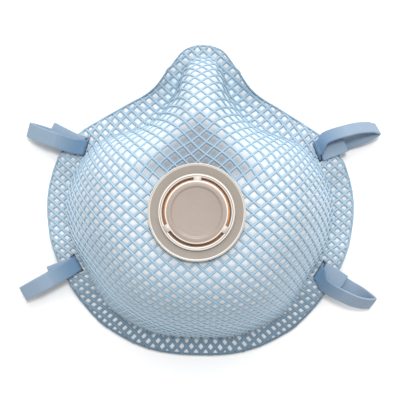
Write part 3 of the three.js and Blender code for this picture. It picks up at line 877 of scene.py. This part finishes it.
def add_welded_edge(rows=720, around=12):
    turn = np.arange(rows)[:, None] / rows
    centre, normal = cup(turn, 2.0), outward(turn, 1.99)
    along = np.roll(centre, -1, 0) - np.roll(centre, 1, 0)
    across = np.cross(along, normal)
    across /= np.linalg.norm(across, axis=-1, keepdims=True)
    angle = np.arange(around)[None, :, None] * 2 * math.pi / around
    inside = np.sign(np.sum(across * (centre * (1, 1, 0)), -1, keepdims=True)) * -EDGE_WIDTH / 2
    middle = centre - normal * EDGE_DEPTH + across * inside
    points = middle + across * np.cos(angle) * EDGE_WIDTH / 2 + normal * np.sin(angle) * EDGE_HEIGHT / 2
    piece = new_piece("welded_edge", points.reshape(-1, 3), tube_faces(rows, around))
    face_outwards(piece)
    blue_and_painted_shading = np.repeat(net_blue_and_painted_shade(centre[:, 0], 2.0) + EDGE_EXTRA_DEPTH, around)
    store_values(piece, "blue_and_painted_shading", blue_and_painted_shading)
    store_values(piece, "crown", np.full(len(blue_and_painted_shading), EDGE_CROWN))
    return piece


finish_piece(add_welded_edge(), "root", "net", net_plastic, "outer_net_shell")

# %% [markdown]
# ## Filter web and lining
# Under the netting lies the filter, a thick web of fine blown fibres, pressed to the same shape in
# the same mould. It shows through every window of the net, a little pillowed, so its material knows
# the net's lattice and swells between the strands. The lining inside is a thinner, smoother web.
# Both are cut through at the four strap slits, by a boolean with four small prisms.

# %% Slits through a layer
def slit_cutter():
    """Four prisms, one in each slit, that reach through the whole laminate."""
    points, faces = [], []
    half, narrow = SLIT_LENGTH / 2, SLIT_LENGTH / 2 - SLIT_TAPER * (SLIT_OUT - SLIT_IN)
    for x, y, angle, *_ in CORNERS.values():
        out = np.array([math.cos(math.radians(angle)), math.sin(math.radians(angle)), 0])
        side = np.array([-out[1], out[0], 0])
        first = len(points)
        for z in (-5, 20):
            for d, w in ((SLIT_IN, -half), (SLIT_OUT, -narrow), (SLIT_OUT, narrow), (SLIT_IN, half)):
                points.append(np.array([x, y, z]) + out * d + side * w)
        faces += [[first + k for k in f] for f in ((0, 3, 2, 1), (4, 5, 6, 7), (0, 1, 5, 4), (1, 2, 6, 5),
                                                    (2, 3, 7, 6), (3, 0, 4, 7))]
    return new_piece("slit_cutter", points, faces, False)


def cut_slits(piece):
    cutter = slit_cutter()
    modifier = piece.modifiers.new("slits", "BOOLEAN")
    modifier.object, modifier.operation, modifier.solver = cutter, "DIFFERENCE", "EXACT"
    apply_modifiers(piece)
    bpy.data.objects.remove(cutter)
    return piece

# %% [markdown]
# A layer lies between two depths below the cup's front face. It keeps the flat places too, as a UV
# map, and two values for its material: where painted shade greys it, and where the net's windows over it
# are pressed shut, which is on steep walls and on the two flanks of the nose.

# %% Pressed sheets
FLANK = ((10.5, 50), (20, 26))         # the line down the middle of each flank, in plan
FLANK_REACH, FLANK_FADE = 6.5, 4
CLOSED = 0.95                  # how far the windows on the flanks are shut


def closed_flank(place):
    """The steep flanks of the nose, where the mould has pressed the net's windows shut."""
    x, y = np.abs(place[..., 0]), place[..., 1]
    (ax, ay), (bx, by) = FLANK
    along = np.clip(((x - ax) * (bx - ax) + (y - ay) * (by - ay)) / ((bx - ax) ** 2 + (by - ay) ** 2), 0, 1)
    away = np.hypot(x - ax - along * (bx - ax), y - ay - along * (by - ay))
    return smooth((FLANK_REACH - away) / FLANK_FADE)


def closed_sheet(name, top, bottom):
    """A closed sheet from two rows x columns x 3 arrays that wrap round the mask."""
    rows, columns, _ = top.shape
    half = rows * columns
    i = np.arange(rows)
    n = (i + 1) % rows
    inner = np.stack([i * columns, i * columns + half, n * columns + half, n * columns], -1)
    e = columns - 1
    outer = np.stack([i * columns + e, n * columns + e, n * columns + e + half, i * columns + e + half], -1)
    faces = np.concatenate([grid_faces(rows, columns), grid_faces(rows, columns, start=half, flip=True),
                            inner, outer])
    return new_piece(name, np.concatenate([top.reshape(-1, 3), bottom.reshape(-1, 3)]), faces)


def pressed_sheet(name, top_depth, bottom_depth, rows, s, top_pinch=0.0, bottom_pinch=0.0):
    """A closed layer between two depths below the cup's front face, which the pinches close up at the rim."""
    turn = np.arange(rows) / rows
    face, normal = cup(turn[:, None], s[None, :]), outward(turn[:, None], s[None, :])
    pinch = rim_pinch(s)[None, :, None]
    piece = closed_sheet(name, face - normal * (top_depth + top_pinch * pinch),
                         face - normal * (bottom_depth - bottom_pinch * pinch))
    flat = flat_places(turn, s, face).reshape(-1, 2)
    map_points(piece, "flat", np.concatenate([flat, flat]) / FLAT_SIZE + 0.5)
    # Painted shade in the valley above the valve, for the web's material.
    store_values(piece, "shade", [shaded_hollow(face)] * 2)
    store_values(piece, "steep", [np.maximum(wall_steepness(normal), CLOSED * closed_flank(face))] * 2)
    return cut_slits(piece)


def sheet_rings(steps):
    """Rings from the valve hole to the rim, closer together where the wall turns into the flange."""
    spans = [(-1, 0, steps // 8), (0, 0.8, steps // 3), (0.8, 1.15, steps // 3), (1.15, 2, steps // 6)]
    return np.concatenate([np.linspace(a, b, n, endpoint=False) for a, b, n in spans] + [[2.0]])


FILTER_TOP, FILTER_BOTTOM, LINING_TOP = 0.62, 2.40, 2.45

filter_web = pressed_sheet("filter_web", FILTER_TOP, FILTER_BOTTOM, 288, sheet_rings(72), NET_PINCH, 0.3)
finish_piece(filter_web, "root", "filter_web", filter_felt, "filter_layer")
lining = pressed_sheet("soft_lining", LINING_TOP, LAMINATE, 240, sheet_rings(60), -0.35, LINING_PINCH)
finish_piece(lining, "root", "lining", lining_felt, "inner_lining")

# %% [markdown]
# A strip of soft foam is bonded across the inside of the nose. It is thickest in the middle and thins
# out to its edges, so it's modelled as a height over the lining that falls to nothing at the border.

# %% Nose foam
FOAM_THICKNESS, FOAM_EDGE = 2.4, 0.25          # the edge is this share of the full thickness
FOAM_REACH, FOAM_RINGS = 4 / 24, (0.46, 0.70)  # how far round the cup, and between which of its rings
FOAM_ROWS, FOAM_COLUMNS = 121, 25
FOAM_MARGIN, COLUMN_SHARE = 0.12, 0.3          # how wide the thinning border is, and less so across the strip
FOAM_GAP = 0.05


def foam_swell():
    """1 inside the strip, thinning to the edge's share along its border."""
    across_rows = 1 - np.abs(np.linspace(-1, 1, FOAM_ROWS))[:, None]
    across_columns = (1 - np.abs(np.linspace(-1, 1, FOAM_COLUMNS)))[None, :] * COLUMN_SHARE
    inside = np.minimum(across_rows, across_columns)
    return FOAM_EDGE + (1 - FOAM_EDGE) * np.sqrt(np.clip(inside / FOAM_MARGIN, 0, 1))


def add_nose_foam():
    turns, rings = np.linspace(-FOAM_REACH, FOAM_REACH, FOAM_ROWS), np.linspace(*FOAM_RINGS, FOAM_COLUMNS)
    t, s = np.meshgrid(turns, rings, indexing="ij")
    normal = outward(t, s)
    top = cup(t, s) - normal * (LAMINATE + FOAM_GAP)
    bottom = top.copy()
    bottom[..., 2] -= FOAM_THICKNESS * foam_swell() / np.maximum(0.4, normal[..., 2])
    rows, columns = t.shape
    half = rows * columns
    grid = np.arange(half).reshape(rows, columns)
    border = [*grid[:, 0], *grid[-1, 1:], *grid[-2::-1, -1], *grid[0, -2:0:-1]]
    walls = [[a, a + half, b + half, b] for a, b in zip(border, border[1:] + border[:1])]
    faces = [*grid_faces(rows, columns, False), *grid_faces(rows, columns, False, half, True), *walls]
    return new_piece("nose_foam", np.concatenate([top.reshape(-1, 3), bottom.reshape(-1, 3)]), faces)


foam = add_nose_foam()
finish_piece(foam, "root", "foam", foam_grey, "nose_cushion")

# %% [markdown]
# ## Breathing-out valve
# The valve's parts are injection mouldings that turn round one axis, so each is a profile spun round
# it. Every corner of a moulding has a small radius, which catches the light as a thin bright line;
# the profiles round their corners the same way, and a painted highlight colours them almost white. The
# seat clamps the net from the front, its spider carries the thin rubber flap, and the cover snaps on
# top with three bridges to its ring.

# %% Lathe with rounded corners
BAR_PAINTED_HIGHLIGHT = 0.45               # how strong the painted highlight on the bars' top edges is, next to 1 for turned corners


def round_corners(profile, radius, dull=(), steps=4):
    """The closed profile with each corner replaced by a short curve, as (radius, height, painted highlight)
    triples. The painted highlight is 1 on a rounded corner, which the material colours almost white;
    corners at the dull radii get none."""
    points = [np.array(p, float) for p in profile]
    rounded = []
    for before, here, after in zip(points[-1:] + points[:-1], points, points[1:] + points[:1]):
        if here[0] <= 1e-6:
            rounded.append((*here, 0.0))
            continue
        a, b = before - here, after - here
        reach = min(radius, 0.45 * np.linalg.norm(a), 0.45 * np.linalg.norm(b))
        a, b = here + a / np.linalg.norm(a) * reach, here + b / np.linalg.norm(b) * reach
        for w in np.linspace(0, 1, steps + 1):
            painted_highlight = float(0 < w < 1 and here[0] not in dull)
            rounded.append((*((1 - w) ** 2 * a + 2 * w * (1 - w) * here + w * w * b), painted_highlight))
    return rounded


def lathe_parts(profile, radius=0.2, segments=144, dull=()):
    """Points and faces of a solid of revolution about the valve's axis; the profile may touch the axis."""
    outline = round_corners(profile, radius, dull)
    area = sum(a[0] * b[1] - b[0] * a[1] for a, b in zip(outline, outline[1:] + outline[:1]))
    if area < 0:
        outline = outline[::-1]
    points, rings = [], []
    for r, z, painted_highlight in outline:
        count = 1 if r <= 1e-6 else segments
        rings.append((len(points), count))
        for k in range(count):
            a = 2 * math.pi * k / segments
            points.append((r * math.cos(a), VALVE_Y + r * math.sin(a), SEAT_HEIGHT + z, painted_highlight))
    faces = []
    for (p, n), (q, m) in zip(rings, rings[1:] + rings[:1]):
        for k in range(segments):
            j = (k + 1) % segments
            face = list(dict.fromkeys([p + k % n, p + j % n, q + j % m, q + k % m]))
            if len(face) > 2:
                faces.append(face)
    return points, faces


def bar_parts(angle, width, from_radius, to_radius, low, high, bevel=0.25):
    """Points and faces of a bar that points away from the valve's axis, its top edges bevelled."""
    a = math.radians(angle)
    out, side = np.array([math.cos(a), math.sin(a)]), np.array([-math.sin(a), math.cos(a)])
    outline = [(-width / 2, low), (width / 2, low), (width / 2, high - bevel), (width / 2 - bevel, high),
               (-width / 2 + bevel, high), (-width / 2, high - bevel)]
    points = []
    for r in (from_radius, to_radius):
        for w, z in outline:
            x, y = out * r + side * w
            points.append((x, VALVE_Y + y, SEAT_HEIGHT + z, BAR_PAINTED_HIGHLIGHT * (z > low)))
    n = len(outline)
    faces = [[i, (i + 1) % n, (i + 1) % n + n, i + n][::-1] for i in range(n)]
    return points, faces + [list(range(n)), list(range(2 * n - 1, n - 1, -1))]


def joined(name, parts):
    points, faces = [], []
    for more_points, more_faces in parts:
        faces += [[i + len(points) for i in face] for face in more_faces]
        points += [tuple(p) for p in more_points]
    points = np.array(points)
    piece = new_piece(name, points[:, :3], faces)
    face_outwards(piece)
    # The fourth value is the painted highlight, which the material turns almost white.
    store_values(piece, "edge", points[:, 3])
    return piece


print("points on a rounded square:", len(round_corners([(1, 0), (2, 0), (2, 1), (1, 1)], 0.2)))

# %% [markdown]
# From behind to front, the valve is a clamp ring inside the mask, the seat with its neck, a ledge and
# three spokes, the flap that rests on the ledge, and the cover, a shallow dish that three bridges hold
# in its ring. Heights are measured from the seat's place on the cup. The flap alone rides on its own
# body, since it lifts when the wearer breathes out.

# %% Seat, flap, cover and clamp ring
SEAT_TOP, SEAT_LIP, LIP_WIDTH, RECESS = 2.5, 2.75, 0.55, 0.2
FLAP, FLAP_HOLE, FLAP_RADIUS = (1.3, 1.9), 1.2, 13.3
NECK_RADIUS, VALVE_RADIUS, NECK_LOW = 15.0, 19.5, -LAMINATE - 2.4
LEDGE, SPIDER_LOW, SPOKE_WIDTH, SPOKES = FLAP[0] - GAP, -1.6, 1.6, (30, 150, 270)
HUB, PIN, PIN_TOP = 2.4, 0.9, 2.4
COVER_LOW, COVER_HIGH, DISH_HEIGHT = 2.8, 4.4, 4.1
COVER_RADIUS, DISH_RADIUS, DISH_SLOPE = 12.6, 9.8, 0.5
BRIDGE_WIDTH, BRIDGES = 3.1, (90, 210, 330)
CLAMP_TOP, CLAMP_THICKNESS, CLAMP_BEVEL, CLAMP_RADIUS = -LAMINATE - GAP, 1.6, 0.4, 18.9

seat = joined("valve_seat_moulding", [
    lathe_parts([(14, SEAT_TOP), (14, RECESS), (12.4, RECESS), (12.4, LEDGE), (11.2, LEDGE),
                 (10.4, LEDGE - 0.6), (10.4, SPIDER_LOW), (13, SPIDER_LOW), (13, NECK_LOW),
                 (NECK_RADIUS, NECK_LOW), (NECK_RADIUS, GAP), (VALVE_RADIUS, GAP), (VALVE_RADIUS, SEAT_LIP),
                 (VALVE_RADIUS - LIP_WIDTH, SEAT_LIP), (VALVE_RADIUS - LIP_WIDTH - 0.2, SEAT_TOP)], 0.25),
    lathe_parts([(0, SPIDER_LOW), (HUB, SPIDER_LOW), (HUB, LEDGE), (PIN, LEDGE), (PIN, PIN_TOP),
                 (0, PIN_TOP)], 0.15, 48),
    *[bar_parts(angle, SPOKE_WIDTH, 1.5, 11, SPIDER_LOW, 0) for angle in SPOKES],
])
finish_piece(seat, "root", "valve_plastic", beige_plastic, "valve_seat")

flap = joined("breathing_flap", [
    lathe_parts([(FLAP_HOLE, FLAP[0]), (FLAP_RADIUS, FLAP[0]), (FLAP_RADIUS, FLAP[1]),
                 (FLAP_HOLE, FLAP[1])])])
finish_piece(flap, "flap", "flap_rubber", flap_rubber, "valve_flap")

cover = joined("valve_cover_moulding", [
    lathe_parts([(0, COVER_LOW), (COVER_RADIUS, COVER_LOW), (COVER_RADIUS, COVER_HIGH),
                 (DISH_RADIUS + DISH_SLOPE, COVER_HIGH), (DISH_RADIUS, DISH_HEIGHT), (0, DISH_HEIGHT)], 0.8,
                dull=(DISH_RADIUS, DISH_RADIUS + DISH_SLOPE)),
    lathe_parts([(13.3, COVER_LOW), (15.3, COVER_LOW), (15.3, 3.6), (14.9, 4.1), (14.0, 4.0)], 0.3),
    *[bar_parts(angle, BRIDGE_WIDTH, COVER_RADIUS - 1.2, 14.4, COVER_LOW, 4.15) for angle in BRIDGES],
])
finish_piece(cover, "root", "valve_plastic", cover_plastic, "valve_cover")

clamp_low = CLAMP_TOP - CLAMP_THICKNESS
clamp = joined("clamp_ring_moulding", [
    lathe_parts([(HOLE_RADIUS, clamp_low), (CLAMP_RADIUS - CLAMP_BEVEL, clamp_low),
                 (CLAMP_RADIUS, clamp_low + CLAMP_BEVEL), (CLAMP_RADIUS, CLAMP_TOP),
                 (HOLE_RADIUS, CLAMP_TOP)])])
finish_piece(clamp, "root", "valve_plastic", beige_plastic, "valve_clamp_ring")

# %% [markdown]
# ## Elastic straps
# Each strap is one flat woven elastic, doubled at the slits. From the run behind the mask it comes up
# through the slit, goes out over the front to a fold beside the mask, and returns behind the flange;
# its cut end wraps round the flange through the same slit and lies under the front band. The pieces
# here meet inside the slit and at the fold, where two bodies of the frame meet. Flat bands like these
# are shaped directly, as a path swept by a flat section.

# %% Band sweep
STRAP_WIDTH, STRAP = 6.6, 0.9
INNER_LAYER, OUTER_LAYER = -0.6, 0.6
TAB_HEIGHT, FRONT_HEIGHT, BACK_HEIGHT = GAP + STRAP / 2, 2 * GAP + 1.5 * STRAP, -LAMINATE - GAP - STRAP / 2
CORNER_FLANGE = LAMINATE + CORNER_RAISE


def band_section(width, thickness, radius=0.3, across=10):
    """The closed outline of a flat band's section, from its front face round, as (across, up) pairs."""
    w, h = width / 2 - radius, thickness / 2 - radius
    top = [(x, thickness / 2) for x in np.linspace(-w, w, across)]
    right = [(w + radius * math.cos(a), h + radius * math.sin(a)) for a in np.radians([60, 30, 0])]
    right += [(x, -y) for x, y in right[::-1][1:]] if h < 1e-6 else [(x, -y) for x, y in right[::-1]]
    bottom = [(x, -thickness / 2) for x in np.linspace(w, -w, across)]
    return np.array(top + right + bottom + [(-x, -y) for x, y in right])


def sweep_band(name, centres, side, up):
    """The band's section carried along the centres, with a UV map of its width and its length in mm."""
    section = band_section(STRAP_WIDTH, STRAP)
    around = len(section)
    points = centres[:, None] + side[:, None] * section[None, :, :1] + up[:, None] * section[None, :, 1:]
    last = (len(centres) - 1) * around
    caps = [list(range(around))[::-1], list(range(last, last + around))]
    piece = new_piece(name, points.reshape(-1, 3), tube_faces(len(centres), around, False).tolist() + caps)
    u = np.tile(section[:, 0] / STRAP_WIDTH + 0.5, len(centres))
    map_points(piece, "band", np.stack([u, np.repeat(travelled(centres), around)], -1))
    face_outwards(piece)
    piece.data.materials.append(strap_elastic)
    return piece


print("points round a band:", len(band_section(STRAP_WIDTH, STRAP)))

# %% [markdown]
# Paths are made of short arcs, where the band bends round an edge, and of a soft curve where it hangs
# free. Elastic has no kinks, so a path is then spaced evenly and eased.

# %% Paths of a band
def spline(points, count=24):
    """Uniform Catmull-Rom curve through the points."""
    p = np.array([points[0], *points, points[-1]], float)
    curve = []
    for i in range(1, len(p) - 2):
        for w in np.linspace(0, 1, count, endpoint=i == len(p) - 3):
            v0, v1 = (p[i + 1] - p[i - 1]) / 2, (p[i + 2] - p[i]) / 2
            curve.append((2 * p[i] - 2 * p[i + 1] + v0 + v1) * w ** 3
                         + (-3 * p[i] + 3 * p[i + 1] - 2 * v0 - v1) * w ** 2 + v0 * w + p[i])
    return curve


def arc(x, y, radius, from_angle, to_angle, count=12):
    return [(x + radius * math.cos(a), y + radius * math.sin(a))
            for a in np.radians(np.linspace(from_angle, to_angle, count))]


def even_path(points, step=0.3, soften=4):
    """The path through the points, evenly spaced and with its kinks eased; its ends stay."""
    points = np.array(points, float)
    travel = travelled(points)
    spots = np.linspace(0, travel[-1], max(4, round(travel[-1] / step)))
    path = np.stack([np.interp(spots, travel, column) for column in points.T], -1)
    for _ in range(soften):
        path[1:-1] = (path[:-2] + 2 * path[1:-1] + path[2:]) / 4
    return path


def directions(path):
    """The unit direction of travel at each point of the path."""
    forward = np.gradient(path, axis=0)
    return forward / np.linalg.norm(forward, axis=1, keepdims=True)


print("length of a 5 mm quarter bend (mm):", round(travelled(even_path(arc(0, 0, 5, 0, 90)))[-1], 1))

# %% [markdown]
# The four loops don't lie alike. Handling has rolled the right ones over on their edge, and each
# arches over the flange by its own amount, so each corner has its own few values. A band is drawn as a
# path in the plane of its slit's outward direction, then rolled about that direction.

# %% Bands at the corners
FOLD, FOLD_HEIGHT, SPLICE_HEIGHT = 0.75, -1.2, -0.2
SLIT_PLAY = 1.7                # the two layers of a rolled loop part sideways in the slit, up to this much
SWING_START, SWING_RUN = 0.8, 4
SLIT_SHADE_REACH, SLIT_SHADE_STRENGTH = 17, 0.85        # how far the painted shade beside the slit reaches, and how strong it starts
ARCH = {"upper_left": 1.2, "upper_right": 3.4, "lower_left": 0.8, "lower_right": 3.6}
# How far each loop has rolled about its outward direction, how far its cut end swings, and where that ends.
LOOP_LIE = {"upper_left": (14, 10, 16.0), "upper_right": (38, 0, 11.9),
            "lower_left": (6, 9, 12.4), "lower_right": (-38, 0, 11.3)}


def corner_axes(corner):
    x, y, angle, *_ = CORNERS[corner]
    out = np.array([math.cos(math.radians(angle)), math.sin(math.radians(angle)), 0.0])
    return np.array([x, y, CORNER_FLANGE]), out, np.array([0, 0, 1.0])


def corner_band(name, corner, path, roll, shift, swing=0.0):
    """Sweeps a band along a path given as (outward, up) pairs from the slit. It rolls about the outward
    direction and shifts sideways, by one value for each point, and its cut end swings on the flange."""
    origin, out, up = corner_axes(corner)
    side = np.cross(out, up)
    reach, height = path[:, :1], path[:, 1:]
    forward = directions(path)
    turned_up = np.cos(roll)[:, None] * up - np.sin(roll)[:, None] * side
    turned_side = np.cos(roll)[:, None] * side + np.sin(roll)[:, None] * up
    pivot = origin + FOLD_HEIGHT * up
    centres = pivot + reach * out + (height - FOLD_HEIGHT) * turned_up + shift[:, None] * side
    normal = -forward[:, 1:] * out + forward[:, :1] * turned_up
    cut_end = (np.arange(len(path))[:, None] > len(path) // 2) & (height > TAB_HEIGHT - GAP)
    if swing:
        swung = cut_end & (reach > SWING_START)
        angle = np.where(swung, swing * smooth((reach - SWING_START) / SWING_RUN), 0.0)
        centres = centres + np.sin(angle) * (reach - SWING_START) * side
        turned_side = np.cos(angle) * turned_side - np.sin(angle) * out * swung
    piece = sweep_band(name, centres, turned_side, normal)
    # Painted shade, deepest at the slit; the cut end gets none.
    near = SLIT_SHADE_STRENGTH * (1 - smooth(reach / SLIT_SHADE_REACH)) * ~cut_end
    store_values(piece, "slit_shade", np.repeat(near, len(piece.data.vertices) // len(path)))
    return piece


print("slit corners (mm):", {corner: corner_axes(corner)[0].tolist() for corner in CORNERS})

# %% [markdown]
# The front band comes up through the slit and goes out to the tip of the fold. The return band goes on
# from there, back behind the flange and up through the same slit, and ends as a flat tab on the front.
# Both are blended from the mask to the loop: a band turns over its first few millimetres into the way
# its loop lies.

# %% Front and return bands
# How far out along the front band, and what share of the arch it has risen by there.
ARCHED = ((0.6, 0), (3, 0.58), (6.5, 0.9), (12, 1), (18, 0.8))


def add_front_band(corner):
    reach, arch = CORNERS[corner][3], ARCH[corner]
    centre, bend = reach - FOLD - STRAP / 2, 0.6
    leg = [(INNER_LAYER, SPLICE_HEIGHT), *arc(INNER_LAYER + bend, FRONT_HEIGHT - bend, bend, 180, 90)]
    arched = [(x, FRONT_HEIGHT + arch * share) for x, share in ARCHED]
    front = spline([*arched, (centre - 2.5, FOLD_HEIGHT + 1.4 + arch * 0.5), (centre, FOLD_HEIGHT + FOLD)])
    path = even_path([*leg, *front[1:-1], *arc(centre, FOLD_HEIGHT, FOLD, 80, 0)])
    rolled = math.radians(LOOP_LIE[corner][0])
    out_of_slit = smooth((path[:, 1] - SPLICE_HEIGHT) / 1.8)
    out_of_slit[len(path) // 2:] = 1
    roll = rolled * (0.3 + 0.7 * smooth(path[:, 0] / 4.5)) * out_of_slit
    shift = -SLIT_PLAY * math.sin(rolled) * out_of_slit * (1 - smooth((path[:, 0] - 3) / 14))
    piece = corner_band(f"front_band_{corner}", corner, path, roll, shift)
    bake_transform(piece)
    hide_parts(f"strap_loop_{corner}")
    return piece


def add_return_band(corner):
    reach = CORNERS[corner][3]
    rolled, swing, tab_end = LOOP_LIE[corner]
    centre, bend = reach - FOLD - STRAP / 2, 0.5
    back = spline([(centre, FOLD_HEIGHT - FOLD), (20, FOLD_HEIGHT - 1.6), (10.8, BACK_HEIGHT)])
    hook = [*arc(OUTER_LAYER + bend, BACK_HEIGHT + bend, bend, 270, 180),
            *arc(OUTER_LAYER + bend, TAB_HEIGHT - bend, bend, 180, 90), (tab_end, TAB_HEIGHT)]
    path = even_path([*arc(centre, FOLD_HEIGHT, FOLD, 0, -80), *back[1:], *hook])
    behind = path[:, 1] < TAB_HEIGHT - GAP
    roll = math.radians(rolled) * smooth(np.where(behind, path[:, 0] - 11, 0) / (reach - 12))
    parted = np.where(behind, 1 - smooth((path[:, 0] - 4) / 12), 1)
    shift = SLIT_PLAY * math.sin(math.radians(rolled)) * parted
    piece = corner_band(f"return_band_{corner}", corner, path, roll, shift, math.radians(swing))
    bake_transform(piece)
    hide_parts(f"strap_end_{corner}")
    return piece


for corner in CORNERS:
    for band in (add_front_band(corner), add_return_band(corner)):
        print(f"{band.name}: {len(band.data.polygons)} faces")

# %% [markdown]
# ## Runs behind the mask
# Behind the mask each strap runs from slit to slit, close under the cup while nobody wears it. It
# leaves both slits straight and curves across between them. Each run is two halves that meet in the
# middle.

# %% Runs behind the mask
RUN_LEAN = 0.42                # how far a run keeps its slit's direction, as a share of the run's width
RUN_BEND, RUN_STEP, RUN_SOFTEN = 0.7, 0.5, 2


def run_path(left, right):
    """Points, in millimetres, of the run's centre line in plan, from the left slit to the right one."""
    ends = []
    for corner in (left, right):
        origin, out, _ = corner_axes(corner)
        ends.append((origin + out * (INNER_LAYER + STRAP / 2), out))
    (a, a_out), (b, b_out) = ends
    lean = abs(b[0] - a[0]) * RUN_LEAN
    w = np.linspace(0, 1, 241)[:, None]
    return ((1 - w) ** 3 * a + 3 * w * (1 - w) ** 2 * (a - a_out * lean)
            + 3 * w ** 2 * (1 - w) * (b - b_out * lean) + w ** 3 * b)


def add_half_run(name, corner, plan):
    """One half: plan runs from the slit to the middle. It starts inside the slit and bends under the cup."""
    origin, out, up = corner_axes(corner)
    bent = arc(INNER_LAYER - RUN_BEND, BACK_HEIGHT + RUN_BEND, RUN_BEND, 0, -90)
    leg = [origin + out * x + up * h for x, h in [(INNER_LAYER, SPLICE_HEIGHT), *bent]]
    past = np.linalg.norm(plan[:, :2] - (origin + out * (INNER_LAYER - RUN_BEND))[:2], axis=1)
    flat = plan[np.argmin(past) + 3:].copy()
    flat[:, 2] = CORNER_FLANGE + BACK_HEIGHT
    path = even_path([*leg, *flat], RUN_STEP, RUN_SOFTEN)
    forward = directions(path)
    heading = forward * (1, 1, 0)
    heading[np.linalg.norm(heading, axis=1) < 0.2] = -out
    heading /= np.linalg.norm(heading, axis=1, keepdims=True)
    side = np.cross(heading, up)
    piece = sweep_band(name, path, side, np.cross(side, forward))
    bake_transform(piece)
    return piece


for level in ("upper", "lower"):
    plan = run_path(f"{level}_left", f"{level}_right")
    middle = len(plan) // 2
    for side, half in (("left", plan[:middle + 1]), ("right", plan[middle:][::-1])):
        piece = add_half_run(f"{level}_run_{side}", f"{level}_{side}", half)
        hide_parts(f"{level}_strap_run")
    print(f"{level} run length (mm): {travelled(plan)[-1]:.0f}")
